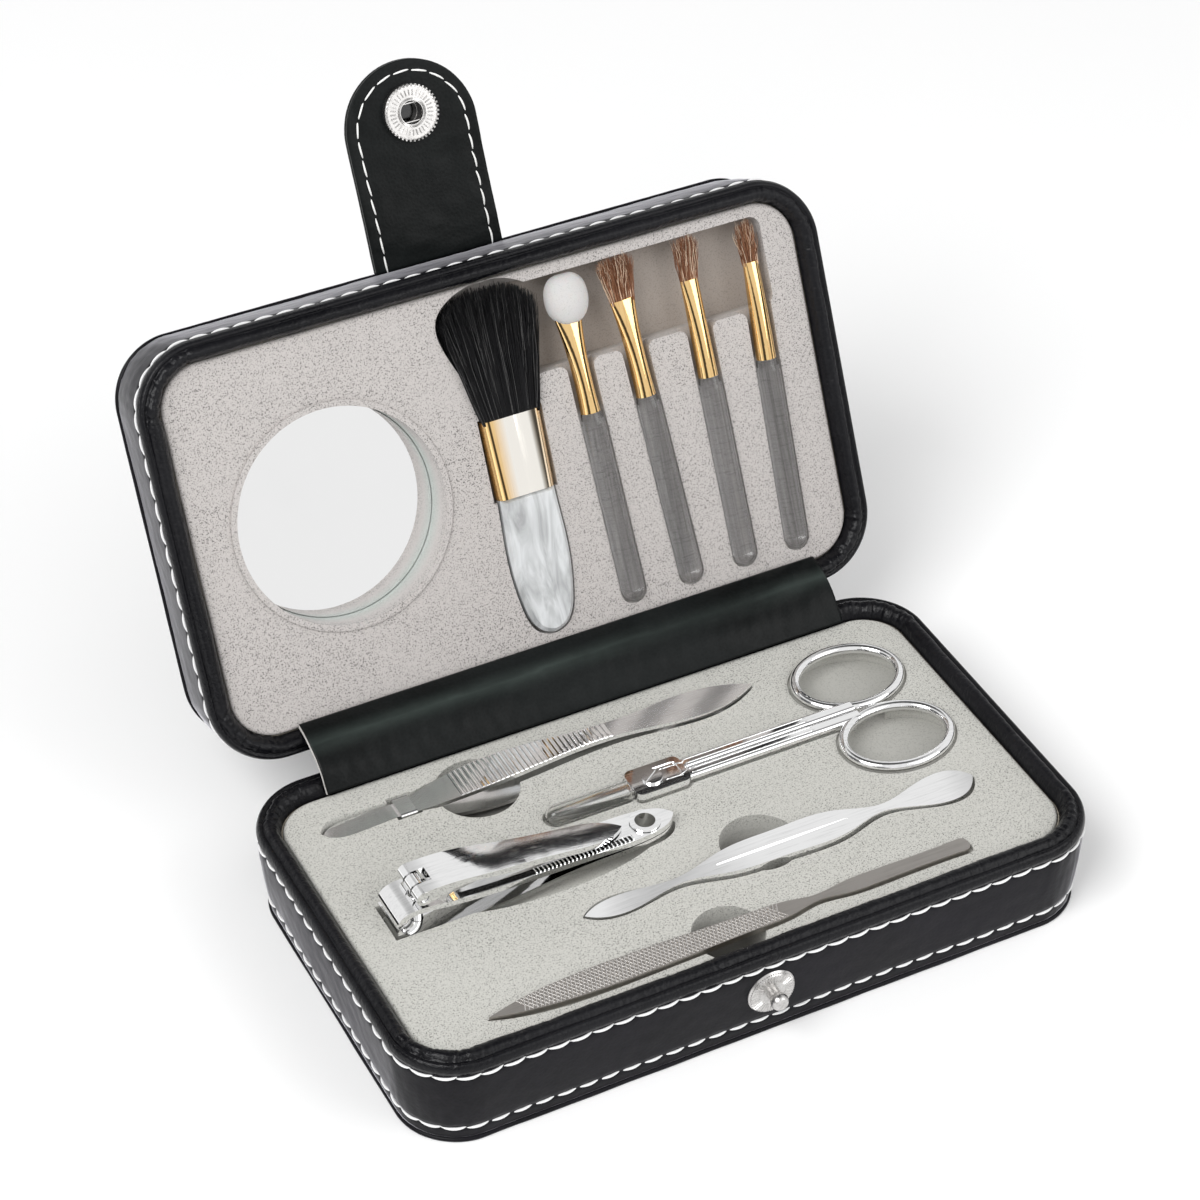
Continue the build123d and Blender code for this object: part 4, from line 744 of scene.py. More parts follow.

# %% [markdown]
# ## Hinge strip
# A strip of leather is the whole hinge. It bridges the two inserts in a shallow arch with softly wrinkled
# skin, its ends are cut square, and the pale core of the leather shows there.

# %% Hinge strip
STRIP_LEFT, STRIP_RIGHT, STRIP_THICKNESS, STRIP_STEP = -60.0, 62.8, 1.1, 0.6
ARCH_RISE, ARCH_POINTS = 2.0, 40
base_end = np.array((38.4, 21.45))
lid_end = carried((0, -39.4, 0.85), LID_TRAY)[0][1:] / MM
chord = lid_end - base_end
across = np.array((-chord[1], chord[0])) / np.linalg.norm(chord)
strip_share = np.linspace(0, 1, ARCH_POINTS)
arch = base_end + np.outer(strip_share, chord) + np.outer(
    4 * strip_share * (1 - strip_share) * ARCH_RISE, across)
strip_x = np.arange(STRIP_LEFT, STRIP_RIGHT + 0.1, STRIP_STEP)
slope = np.gradient(arch, axis=0)
slope /= np.linalg.norm(slope, axis=1)[:, None]
skin_out = np.column_stack([-slope[:, 1], slope[:, 0]])


def strip_skin(side, seed=8.0):
    """One skin of the strip; side is 1 on the showing face and -1 behind."""
    points = np.zeros((len(strip_x), len(arch), 3))
    points[..., 0] = strip_x[:, None]
    points[..., 1:] = arch + side * STRIP_THICKNESS / 2 * skin_out
    flat = points.reshape(-1, 3)
    lift = rumple(flat * (0.35, 1, 1), height=0.45, wave=7.0, seed=seed)
    lift += rumple(flat * (1, 0.5, 0.5), height=0.22, wave=2.3, seed=seed)
    lift = lift.reshape(points.shape[:2]) * np.sin(pi * strip_share) ** 0.5
    points[..., 1:] += lift[..., None] * skin_out
    return points


ring = np.concatenate([strip_skin(1), strip_skin(-1)[:, ::-1]], axis=1)
rows, columns = ring.shape[:2]
strip_faces = grid(rows, columns, False, True)
for row in (0, rows - 1):
    first = row * columns
    strip_faces += [(first + j, first + j + 1, first + columns - 2 - j, first + columns - 1 - j)
                    for j in range(len(arch) - 1)]
strip = new_piece("hinge_strip_leather", ring, strip_faces, strip_leather,
                  replaces=["hinge_strip"])
strip.data.materials.append(raw_edge)
for face in strip.data.polygons:
    from_end = min(abs(face.center.x / MM - end) for end in (STRIP_LEFT, STRIP_RIGHT))
    if abs(face.normal.x) > 0.8 and from_end < STRIP_STEP / 2:
        face.material_index = 1
        face.use_smooth = False
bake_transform(strip)
print("hinge strip", face_counts(strip), "faces")

# %% [markdown]
# ## Closing strap
# The strap is two layers of leather sewn together. It leaves the lid's outer panel, runs on past the wall
# and ends in a half round with the snap's socket. Its flat shape is a grid for the straight part and rings
# round the socket hole for the rounded part, thickened and bevelled by modifiers.

# %% Closing strap
STRAP_X, STRAP_HALF = -1.2, 14.65
STRAP_START, STRAP_FOLD, STRAP_SPLIT, STRAP_APEX = 43.9, 46.15, 63.0, 86.3
STRAP_ROUND = STRAP_APEX - STRAP_HALF
FOLD_REACH, SEAM_INSET = 1.6, 2.5
SOCKET_V, BARREL_RADIUS = 75.3, 4.85
STRAP_TOP, LAYER = -17.2, 1.0
EDGE_ROUND, SEAM_DENT, SEAM_DENT_WIDTH, FOLD_WIDTH, SETTLE = 0.28, 0.12, 0.6, 3.5, 6.0
ACROSS_POINTS, STRAIGHT_ROWS, SIDE_POINTS, TURN_POINTS, RINGS = 31, 22, 10, 40, 14
TRAY_OUT = Vector((0, -sin(LEAN), cos(LEAN)))


def half_round(half, count):
    """Flat (x, v) points of the strap's rounded end at a half width."""
    return [(half * cos(a), STRAP_ROUND + half * sin(a)) for a in np.linspace(0, pi, count)]


def on_strap(flat, height):
    """Flat (x, v) points of the strap as points of the lid's tray."""
    return np.column_stack([flat[:, 0] + STRAP_X, flat[:, 1], 0 * flat[:, 0] + height])


def strap_outline():
    """Flat (x, v) rows of the straight part, and rings round the socket hole for the rest."""
    across = np.linspace(-STRAP_HALF, STRAP_HALF, ACROSS_POINTS)
    straight = [[(x, v) for x in across] for v in np.linspace(STRAP_START, STRAP_SPLIT, STRAIGHT_ROWS)]
    side = np.linspace(STRAP_SPLIT, STRAP_ROUND, SIDE_POINTS)[1:]
    border = [(x, STRAP_SPLIT) for x in across] + [(STRAP_HALF, v) for v in side]
    border += half_round(STRAP_HALF, TURN_POINTS)[1:-1]
    border = np.array(border + [(-STRAP_HALF, v) for v in side[::-1]])
    from_hole = border - (0, SOCKET_V)
    hole = BARREL_RADIUS * from_hole / np.linalg.norm(from_hole, axis=1)[:, None] + (0, SOCKET_V)
    return np.array(straight), np.array([border + (hole - border) * t for t in np.linspace(0, 1, RINGS)])


def applied(piece):
    """The piece with its modifiers turned into plain mesh."""
    graph = bpy.context.evaluated_depsgraph_get()
    piece.data = bpy.data.meshes.new_from_object(piece.evaluated_get(graph))
    piece.modifiers.clear()
    return piece


def blend_at_fold(piece, height):
    """Works out the ends of the strap's fold but bends nothing; it only bakes the piece's place into its
    mesh.
    """
    ends = [(STRAP_X, STRAP_FOLD - FOLD_REACH, height), (STRAP_X, STRAP_FOLD + FOLD_REACH, height)]
    ends = carried(ends, LID_TRAY)
    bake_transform(piece)


def strap_layer(name, top, slot_nodes, seed=12.0):
    straight, rings = strap_outline()
    flat = np.concatenate([straight.reshape(-1, 2), rings.reshape(-1, 2)])
    faces = grid(*straight.shape[:2])
    faces += shifted(grid(*rings.shape[:2], False, True), straight.shape[0] * straight.shape[1])
    piece = new_piece(name, on_strap(flat, top), faces, strip_leather, LID_TRAY)
    if Vector(piece.data.polygons[0].normal).dot(TRAY_OUT) < 0:
        piece.data.flip_normals()
    solidify = piece.modifiers.new("solidify", "SOLIDIFY")
    solidify.thickness, solidify.offset = LAYER * MM, -1.0
    bevel = piece.modifiers.new("bevel", "BEVEL")
    bevel.width, bevel.segments, bevel.limit_method = EDGE_ROUND * MM, 3, "ANGLE"
    applied(piece)
    spots = np.array([vertex.co for vertex in piece.data.vertices]) / MM
    local = (spots - np.array(LID_TRAY.translation)) @ np.array(LID_TRAY.to_3x3())
    from_middle = local[:, 0] - STRAP_X
    wave = rumple(local * (1, 1, 0), height=0.5, wave=16.0, seed=seed)
    wave += rumple(local * (1, 1, 0), height=0.14, wave=3.5, seed=seed)
    from_seam = np.abs(from_middle) - STRAP_HALF + SEAM_INSET
    wave -= SEAM_DENT * bump_at(from_seam, 0, SEAM_DENT_WIDTH) * (local[:, 2] > top - LAYER / 2)
    folds = rumple(local * (0.4, 1.6, 0), height=0.25, wave=3.0, seed=seed + 4)
    wave += folds * bump_at(local[:, 1], STRAP_FOLD, FOLD_WIDTH)
    settle = np.clip((local[:, 1] - STRAP_START) / SETTLE, 0, 1)
    settle *= np.clip((np.hypot(from_middle, local[:, 1] - SOCKET_V) - SETTLE) / SETTLE, 0, 1)
    local[:, 2] += wave * settle
    piece.data.vertices.foreach_set("co", carried(local, LID_TRAY).ravel())
    piece.data.polygons.foreach_set("use_smooth", [True] * len(piece.data.polygons))
    blend_at_fold(piece, top)
    return dress(piece, None, slot_nodes)


strap_lining = strap_layer("strap_lining_leather", STRAP_TOP, ["tab_lining"])
strap_outer = strap_layer("strap_outer_leather", STRAP_TOP - LAYER, ["tab_outer", "tab_anchor"])
print("strap", face_counts(strap_lining, strap_outer), "faces")

# %% [markdown]
# ## Stitching
# All the seams use one Geometry Nodes tree. It takes a line of points that carry the skin's outward
# direction, spreads points at the stitch pitch along it, and puts a sagging loop of thread at each, turned
# to the line and slightly aslant, with both ends diving into the leather.


# %% Stitch tree
def turned_to_line(g):
    """A rotation that stands an instance on the line's skin and turns it along the line."""
    outward = g("GeometryNodeInputNamedAttribute", {"Name": "outward"}, data_type="FLOAT_VECTOR")
    return g("FunctionNodeAxesToRotation", {"Primary Axis": outward,
                                            "Secondary Axis": g("GeometryNodeInputTangent")},
             primary_axis="Z", secondary_axis="X")


def steps_along(g):
    """Points at the group's pitch along the group's line."""
    line = g("GeometryNodeMeshToCurve", {"Mesh": g["Line"]})
    return g("GeometryNodeResampleCurve", {"Curve": line, "Length": g["Pitch"]}, mode="LENGTH")


def rotated(g, rotation, by):
    return g("FunctionNodeRotateRotation", {"Rotation": rotation, "Rotate By": by}, rotation_space="LOCAL")


def swept_round(g, curve, sides, radius):
    """A capped tube round a curve."""
    profile = g("GeometryNodeCurvePrimitiveCircle", {"Resolution": sides, "Radius": 1.0})
    return g("GeometryNodeCurveToMesh", {"Curve": curve, "Profile Curve": profile, "Scale": radius,
                                         "Fill Caps": True})


def with_material(g, shape, name):
    return g("GeometryNodeSetMaterial", {"Geometry": shape, "Material": g[name]})


stitch_group, g = new_group(
    "stitches", "GeometryNodeTree",
    {"Line": "Geometry", "Pitch": 0.0048, "Length": 0.0044, "Thread radius": 0.00031, "Sag": 0.0005,
     "Lift": 0.0003, "Slant": 0.06, "Thread": "Material"}, SHAPE,
)
half_length = g.times(g["Length"], 0.5)
dive = g.times(g["Lift"], -0.7)
loop = g("GeometryNodeCurveQuadraticBezier", {
    "Resolution": 7, "Start": g.xyz(g.times(half_length, -1.0), 0.0, dive),
    "Middle": g.xyz(g.times(half_length, 0.15), g.times(g["Sag"], -1.0), g.times(g["Lift"], 2.2)),
    "End": g.xyz(half_length, 0.0, dive),
})
along = g("GeometryNodeSplineParameter").outputs["Factor"]
plump = g.math("POWER", g.math("SINE", g.times(along, pi)), 0.45)
plump = g.times(g.plus(g.times(plump, 0.75), 0.25), g["Thread radius"])
jitter = g("FunctionNodeRandomValue", {"Min": (0, 0, -0.05), "Max": (0, 0, 0.05), "Seed": 7},
           data_type="FLOAT_VECTOR")
slanted = rotated(g, turned_to_line(g), g.vector("ADD", g.xyz(z=g["Slant"]), jitter))
stitched = g("GeometryNodeInstanceOnPoints", {
    "Points": steps_along(g), "Instance": swept_round(g, loop, 8, plump), "Rotation": slanted})
real = g("GeometryNodeSetShadeSmooth", {0: g("GeometryNodeRealizeInstances", {0: stitched})})
g.give(with_material(g, real, "Thread"))
print("stitch tree", len(stitch_group.nodes), "nodes")


# %% Grow a tree on a line
def line_mesh(points, outward, closed=False, reach=None):
    """A line of points in metres that carries its outward directions and half widths as attributes."""
    mesh = bpy.data.meshes.new("line")
    count = len(points)
    edges = [(i, i + 1) for i in range(count - 1)] + ([(count - 1, 0)] if closed else [])
    mesh.from_pydata([tuple(p) for p in points], edges, [])
    directions = mesh.attributes.new("outward", "FLOAT_VECTOR", "POINT")
    directions.data.foreach_set("vector", np.asarray(outward, np.float32).ravel())
    if reach is not None:
        half_widths = mesh.attributes.new("reach", "FLOAT", "POINT")
        half_widths.data.foreach_set("value", np.asarray(reach, np.float32))
    return mesh


def grown(name, group, mesh, **values):
    """A plain mesh object made by a Geometry Nodes tree on a mesh; values are its named inputs."""
    piece = added(name, mesh)
    modifier = piece.modifiers.new("grow", "NODES")
    modifier.node_group = group
    sockets = {item.name: item.identifier for item in group.interface.items_tree
               if item.item_type == "SOCKET" and item.in_out == "INPUT"}
    for label, value in values.items():
        modifier[sockets[label.replace("_", " ")]] = value
    return applied(piece)


def joined(name, pieces):
    """One object that holds the meshes of several; they share their first material."""
    work = bmesh.new()
    for piece in pieces:
        work.from_mesh(piece.data)
    mesh = bpy.data.meshes.new(name)
    work.to_mesh(mesh)
    work.free()
    mesh.materials.append(pieces[0].data.materials[0])
    for piece in pieces:
        bpy.data.objects.remove(piece)
    return added(name, mesh)


def skin_of(piece):
    """A search tree over a piece's faces."""
    work = bmesh.new()
    work.from_mesh(piece.data)
    skin = BVHTree.FromBMesh(work)
    work.free()
    return skin


def dropped(skin, points, outward, start_above=0.004, reach=0.009):
    """Points moved along their outward directions on to a skin."""
    landed = []
    for point, direction in zip(points, outward):
        start = Vector(point) + Vector(direction) * start_above
        hit = skin.ray_cast(start, -Vector(direction), reach)[0]
        landed.append(hit if hit else Vector(point))
    return np.array(landed)


print("growing helpers ready")


# %% Stitches on the walls
def wall_stitches(name, tray, wall, rows, body):
    """Seams round a tray; rows are (height, how far the seam's skin faces away from the deck)."""
    skin = skin_of(wall)
    seams = []
    for row, tilt in rows:
        tilted = np.column_stack([OUTWARD * cos(tilt), np.full(len(OUTWARD), -sin(tilt))])
        tilted = tilted @ np.array(tray.to_3x3()).T
        ring = ringed(np.full((len(PATH), 1), wall_inset(row)), np.array([row]))
        points = dropped(skin, carried(ring, tray), tilted)
        seams.append(grown("seam", stitch_group, line_mesh(points[::2], tilted[::2], closed=True),
                           Pitch=STITCH_PITCH * MM, Length=0.0049, Thread=white_thread))
    return dress(joined(name, seams), body)


EDGE_ROW = (-18.75, radians(58))
base_stitches = wall_stitches("base_wall_stitches", BASE_TRAY, base_wall,
                              [(row, DRAFT) for row in PINCHES["base"]], "base")
lid_stitches = wall_stitches("lid_wall_stitches", LID_TRAY, lid_wall, [(PINCHES["lid"][0], DRAFT)], "lid")
lid_edge_stitches = wall_stitches("lid_edge_stitches", LID_TRAY, lid_panel, [EDGE_ROW], "lid")
print("wall stitches", face_counts(base_stitches, lid_stitches, lid_edge_stitches), "faces")


# %% Stitches on the strap
def strap_seam(name, layer, face_height, side):
    """The seam round the strap on one face; side is 1 for the lining's face and -1 for the outer face."""
    half = STRAP_HALF - SEAM_INSET
    up = [(half, v) for v in np.arange(STRAP_FOLD - 0.5, STRAP_ROUND, 0.8)]
    flat = np.array(up + half_round(half, 60) + [(-x, v) for x, v in up[::-1]])
    outward = np.tile(np.array(LID_TRAY.to_3x3()) @ (0, 0, side), (len(flat), 1))
    points = dropped(skin_of(layer), carried(on_strap(flat, face_height), LID_TRAY), outward)
    seam = grown(name, stitch_group, line_mesh(points, outward), Pitch=0.0040, Length=0.0039,
                 Thread_radius=0.00022, Sag=0.0003 * side, Lift=0.00022, Thread=white_thread)
    blend_at_fold(seam, STRAP_TOP)
    return seam


inner_seam = strap_seam("strap_inner_stitches", strap_lining, STRAP_TOP, 1)
outer_seam = strap_seam("strap_outer_stitches", strap_outer, STRAP_TOP - 2 * LAYER, -1)
print("strap stitches", face_counts(inner_seam, outer_seam), "faces")

# %% [markdown]
# ## Brush hair
# A brush head is hundreds of fine tapered hairs that leave a flat ferrule together and fan out. The tree
# scatters roots in the ferrule's mouth, grows a line from each, bends it outwards with its place in the
# mouth, trims the tips to a dome, and gives every hair its own waver and a thinning triangular section.

# %% Bristle tree
bristle_group, g = new_group(
    "bristles", "GeometryNodeTree",
    {"Mesh": "Geometry", "Count": 400, "Length": 0.01, "Root width": 0.005, "Tip width": 0.009,
     "Tip shift": 0.0, "Root depth": 0.0016, "Tip depth": 0.0026, "Spread power": 1.3, "Dome": 0.2,
     "Waver": 0.0004, "Hair radius": 0.00008, "Seed": 1, "Hair": "Material"}, SHAPE,
)
scatter = g("FunctionNodeRandomValue", {"Min": (-1, -1, -1), "Max": (1, 1, 1), "Seed": g["Seed"]},
            data_type="FLOAT_VECTOR")
roots = g("GeometryNodePoints", {"Count": g["Count"], "Position": (0, 0, 0)})
roots = g("GeometryNodeStoreNamedAttribute", {"Geometry": roots, "Name": "root", "Value": scatter},
          data_type="FLOAT_VECTOR", domain="POINT")
hair_line = g("GeometryNodeResampleCurve", {"Curve": g("GeometryNodeCurvePrimitiveLine"), "Count": 7})
planted = g("GeometryNodeInstanceOnPoints", {"Points": roots, "Instance": hair_line})
planted = g("GeometryNodeRealizeInstances", {0: planted})
root = g("GeometryNodeInputNamedAttribute", {"Name": "root"}, data_type="FLOAT_VECTOR")
side, luck, deep = g("ShaderNodeSeparateXYZ", {0: root}).outputs
rise = g("GeometryNodeSplineParameter").outputs["Factor"]
spread = g.math("POWER", rise, g["Spread power"])


def widening(root_size, tip_size):
    return g.between(spread, 0.0, 1.0, g.times(g[root_size], 0.5), g.times(g[tip_size], 0.5))


HAIRS_APART = 37.0
waver_at = g.vector("ADD", g.scaled(root, HAIRS_APART), g.xyz(y=rise))
waver = g.noise(waver_at, scale=1.4, detail=2.0).outputs["Color"]
waver = g.scaled(g.vector("SUBTRACT", waver, (0.5, 0.5, 0.5)), g.times(g["Waver"], g.times(rise, 4.0)))
domed = g.times(g.math("POWER", g.math("ABSOLUTE", side), 3.4), g["Dome"])
uneven = g.times(g.math("ABSOLUTE", luck), 0.10)
reach = g.times(g.minus(g.minus(1.0, domed), uneven), g["Length"])
grown_at = g.xyz(
    g.plus(g.times(side, widening("Root width", "Tip width")), g.times(spread, g["Tip shift"])),
    g.times(rise, reach), g.times(deep, widening("Root depth", "Tip depth")))
combed = g("GeometryNodeSetPosition", {"Geometry": planted, "Position": g.vector("ADD", grown_at, waver)})
thinning = g.minus(1.0, g.times(g.math("POWER", rise, 3.0), 0.75))
hairs = swept_round(g, combed, 3, g.times(thinning, g["Hair radius"]))
g.give(with_material(g, g("GeometryNodeSetShadeSmooth", {0: hairs}), "Hair"))
print("bristle tree", len(bristle_group.nodes), "nodes")


# %% Place a brush head on its tool
def tool_frame(x, v, h, lean=0.0):
    """A frame on the lid tray, in metres: X across the tool, Y along it towards its head, Z outwards."""
    whole = LID_TRAY @ Matrix.Translation((x, v, h)) @ Matrix.Rotation(-radians(lean), 4, "Z")
    whole.translation *= MM
    return whole


APPLICATOR_TAIL, HANDLE_AND_FERRULE = -36.4, 43.0 + 21.5


def head_frame(x, lean):
    """Frame at the end of an applicator's ferrule."""
    direction = np.array((sin(radians(lean)), cos(radians(lean))))
    mouth = np.array((x, APPLICATOR_TAIL)) + direction * HANDLE_AND_FERRULE
    return tool_frame(mouth[0], mouth[1], -0.4, lean)


def brush_head(name, place, tool, material, count, waver, radius, seed, shape):
    piece = grown(name, bristle_group, bpy.data.meshes.new(name), Hair=material, Count=count, Waver=waver,
                  Hair_radius=radius, Seed=seed, **shape)
    piece.data.transform(place)
    piece.data.attributes.remove(piece.data.attributes["root"])
    dress(piece, tool, [f"{tool}_hair"])
    print(name, face_counts(piece), "faces")


BLUSH_MOUTH = (0.3, -37.2 + 31.2 + 17.2 - 0.8, -0.7)
FAN = {"Length": 0.0285, "Root_width": 0.0131, "Tip_width": 0.0218, "Tip_shift": -0.0003,
       "Root_depth": 0.0036, "Tip_depth": 0.0052, "Spread_power": 0.9, "Dome": 0.15}
blush_place = tool_frame(*BLUSH_MOUTH)
brush_head("blush_bristles", blush_place, "blush", black_hair, 3200, 0.0006, 0.00011, 3, FAN)
brush_head("blush_grey_strands", blush_place, "blush", grey_hair, 380, 0.0009, 0.00005, 5, FAN)
# Each applicator's place across the lid in mm, and its lean in degrees.
APPLICATORS = {"sponge": (20.0, -2.0), "smudge": (34.0, -3.0), "shader": (47.2, -0.5), "liner": (60.0, 1.4)}
# Root width, tip width, tip shift, number of hairs, dome and length of each brown head.
HEADS = {"smudge": (0.0054, 0.0080, 0.0002, 300, 0.10, 0.0105),
         "shader": (0.0038, 0.0056, 0.0006, 210, 0.16, 0.0103),
         "liner": (0.0034, 0.0042, -0.0002, 150, 0.30, 0.0100)}
for number, (tool, (root_width, tip_width, shift, count, dome, length)) in enumerate(HEADS.items()):
    place = head_frame(*APPLICATORS[tool]) @ Matrix.Translation((0, -0.0008, 0))
    shape = {"Length": length, "Root_width": root_width, "Tip_width": tip_width, "Tip_shift": shift,
             "Root_depth": 0.0014, "Tip_depth": 0.0022, "Spread_power": 1.1, "Dome": dome}
    for label, material, hairs, waver, seed in (("bristles", brown_hair, count, 0.0009, 20 + number),
                                                ("pale_strands", pale_hair, count // 4, 0.0013, 40 + number)):
        brush_head(f"{tool}_{label}", place, tool, material, hairs, waver, 0.00008, seed, shape)

# %% [markdown]
# ## Sponge tip
# The tip is a soft egg of fine white foam, moulded in two halves and pushed over its ferrule. It is turned
# from a half outline, flattened front to back, with a faint welded seam round its side and a slight
# unevenness. A lathe of points is used because the outline can be set exactly.

# %% Sponge tip
EGG_RINGS, EGG_SIDES, EGG_FULLNESS = 24, 48, 0.72
WELD_HEIGHT, WELD_WIDTH = 0.035, 0.10


def foam_egg(name, frame_at, length, half_width, half_depth):
    """An egg on a tool's frame; its length runs along the tool."""
    rise = np.linspace(0.0, 1.0, EGG_RINGS + 2)[1:-1]
    around = turns_round(EGG_SIDES)
    belly = np.sin(pi * rise) ** EGG_FULLNESS * (0.93 + 0.14 * rise)
    along = length * (1 - np.cos(pi * rise)) / 2
    weld = 1 + WELD_HEIGHT * bump_at(np.sin(around), 0, WELD_WIDTH)
    rings = [(half_width * wide * cos(a) * weld[i], y, half_depth * wide * sin(a))
             for wide, y in zip(belly, along) for i, a in enumerate(around)]
    points = np.array(rings + [(0, 0, 0), (0, length, 0)]) * MM
    faces = grid(len(rise), len(around), False, True)
    last = len(points)
    top = (len(rise) - 1) * len(around)
    faces += [(last - 2, (i + 1) % len(around), i) for i in range(len(around))]
    faces += [(last - 1, top + i, top + (i + 1) % len(around)) for i in range(len(around))]
    points = np.array([frame_at @ Vector(p) for p in points]) / MM
    points += rumple(points, height=0.12, wave=2.5, seed=30.0)[:, None]
    return new_piece(name, points, faces, white_sponge, NO_TRAY, "sponge", ["sponge_tip"])


sponge_place = head_frame(*APPLICATORS["sponge"]) @ Matrix.Translation((0.0006, -0.0020, 0))
sponge = foam_egg("sponge_foam", sponge_place, 10.9, 4.9, 3.2)
print("sponge", face_counts(sponge), "faces")

# %% [markdown]
# ## Ribs, teeth and knurls
# The tools are gripped and filed with small repeated ridges: ribs across the tweezers, crossed teeth on the
# file, serrations in the clipper's jaw gap, and rays on the snap. One tree makes them all. It sets a
# low half-round bar at each step of a line, as long as the line's own half width says, at a chosen angle.

# %% Rib tree
rib_group, g = new_group(
    "ribs", "GeometryNodeTree",
    {"Line": "Geometry", "Pitch": 0.001, "Width": 0.0004, "Height": 0.00015, "Angle": 0.0,
     "Metal": "Material"}, SHAPE,
)
bar = g("GeometryNodeMeshCylinder", {"Vertices": 8, "Radius": 0.5, "Depth": 2.0})
bar = g("GeometryNodeTransform", {"Geometry": bar, "Rotation": (pi / 2, 0, 0)})
reach = g("GeometryNodeInputNamedAttribute", {"Name": "reach"}, data_type="FLOAT")
bar_length = g.math("DIVIDE", reach, g.math("COSINE", g["Angle"]))
ribbed = g("GeometryNodeInstanceOnPoints", {
    "Points": steps_along(g), "Instance": bar, "Rotation": rotated(g, turned_to_line(g), g.xyz(z=g["Angle"])),
    "Scale": g.xyz(g["Width"], bar_length, g.times(g["Height"], 2.0)),
})
g.give(with_material(g, g("GeometryNodeRealizeInstances", {0: ribbed}), "Metal"))
print("rib tree", len(rib_group.nodes), "nodes")

# %% Lines along the tools and round the snap
ABOVE, SEARCH, SEARCH_STEP = 60.0, 6.0, 0.1


def seen_from_above(skin, x, y):
    """The highest point of a skin over (x, y) in mm, and its normal."""
    return skin.ray_cast(Vector((x, y, ABOVE)) * MM, Vector((0, 0, -1)))[:2]


def crest(node, start, stop, y_middle, inset=0.25):
    """Points each mm along a tool's upper face from one x to another, its normals and its half widths."""
    skin = skin_of(nodes[node])
    points, normals, reach = [], [], []
    for x in np.arange(start, stop, 1.0):
        search = np.arange(y_middle - SEARCH, y_middle + SEARCH, SEARCH_STEP)
        across = [(hit, normal) for hit, normal in (seen_from_above(skin, x, y) for y in search) if hit]
        middle = across[len(across) // 2]
        points.append(middle[0])
        normals.append(middle[1])
        reach.append(len(across) * SEARCH_STEP / 2 - inset)
    return np.array(points), np.array(normals), np.array(reach) * MM


def ribs_on(name, line, body, material, pitch, width, height, angle=0.0, closed=False):
    """Ribs grown on a (points, normals, half widths) line."""
    points, normals, reach = line
    piece = grown(name, rib_group, line_mesh(points, normals, closed, reach), Metal=material, Pitch=pitch,
                  Width=width, Height=height, Angle=angle)
    print(name, face_counts(piece), "faces")
    return dress(piece, body)


def ring_line(centre, facing, radius, reach, count=96):
    """A circle round a centre in metres; the ribs on it point at the centre."""
    facing, side = Vector(facing).normalized(), Vector((1, 0, 0))
    other = facing.cross(side)
    side, other = np.array(side), np.array(other)
    points = [np.array(centre) + (side * cos(a) + other * sin(a)) * radius for a in turns_round(count)]
    return np.array(points), np.tile(np.array(facing), (count, 1)), np.full(count, reach)


# %% Ribs on the tweezers, teeth on the file and in the clipper
grip_line = crest("tweezers_arm_upper", -35.0, 1.0, 29.0)
ribs_on("tweezers_grip_ribs", grip_line, "tweezers_upper", chrome, 0.00112, 0.00100, 0.00018)
teeth_line = crest("nail_file", -50.0, 7.0, -34.0, 0.18)
ribs_on("file_teeth_first_cut", teeth_line, "file", file_bright, 0.00084, 0.00026, 0.00014, -0.35)
ribs_on("file_teeth_second_cut", teeth_line, "file", file_bright, 0.00100, 0.00020, 0.00013, 0.62)


def front_band(node, start, stop, inset, width):
    """Three points across a tool's upper face, just behind its front edge, at each mm of x."""
    skin = skin_of(nodes[node])
    rows = []
    for x in np.arange(start, stop, 1.0):
        edge = next(y for y in np.arange(-8.0, 4.0, 0.05) if seen_from_above(skin, x, y)[0])
        rows.append([seen_from_above(skin, x, edge + inset + width * share) for share in (0, 0.5, 1)])
    return rows


# Which of the three points across the band, and how far above the face in mm.
BAND_SECTION = ((0, -0.05), (0, 0.07), (1, 0.10), (2, 0.07), (2, -0.05))
TEETH_END, TEETH_REACH = -0.034, 0.00072
# Painted shade: a dark band carrying the serrations stands in for the shaded gap between the clipper's arms.
band = front_band("clipper_arm_upper", -50.0, -10.0, 0.25, 1.5)
band_points = [row[side][0] / MM + row[side][1] * lift for row in band for side, lift in BAND_SECTION]
new_piece("clipper_gap_shade_band", band_points, tube_faces(len(band), len(BAND_SECTION)), shade_chrome, NO_TRAY,
          "clipper_upper", smooth=False)
toothed = [row[1] for row in band if row[1][0].x > TEETH_END]
teeth_on = (*(np.array(column) for column in zip(*toothed)), np.full(len(toothed), TEETH_REACH))
ribs_on("clipper_serrations", teeth_on, "clipper_upper", chrome, 0.00090, 0.00042, 0.00034)

# %% [markdown]
# ## Ridges along the scissors
# The stamped shanks carry two fine ridges each. A small round bead is laid on a line of points that was
# dropped on to the shank, so that it follows the metal. A tree isn't needed for one plain sweep.


# %% Ridges along the scissors shanks
def bead(name, points, up, radius, body, material, sides=8):
    """A fine round ridge lying on a line of skin points in metres."""
    along = np.gradient(points, axis=0)
    side = np.cross(up, along / np.linalg.norm(along, axis=1)[:, None])
    turns = turns_round(sides)[None, :, None]
    rings = points[:, None, :] + radius * (np.cos(turns) * side[:, None, :] + np.sin(turns) * up[:, None, :])
    new_piece(name, rings / MM, tube_faces(len(points), sides), material, NO_TRAY, body)


for half in ("upper", "lower"):
    node = f"scissors_blade_{half}"
    points, _, reach = crest(node, 4.0, 40.0, 11.4, 0.0)
    up = np.tile((0.0, 0.0, 1.0), (len(points), 1))
    for label, share in (("back", 0.42), ("front", -0.42)):
        landed = dropped(skin_of(nodes[node]), points + np.outer(reach * share, (0, 1, 0)), up)
        bead(f"shank_ridge_{half}_{label}", landed, up, 0.00014, "scissors", chrome)
    print(node, "shank half width", np.round(reach / MM, 2)[::9])
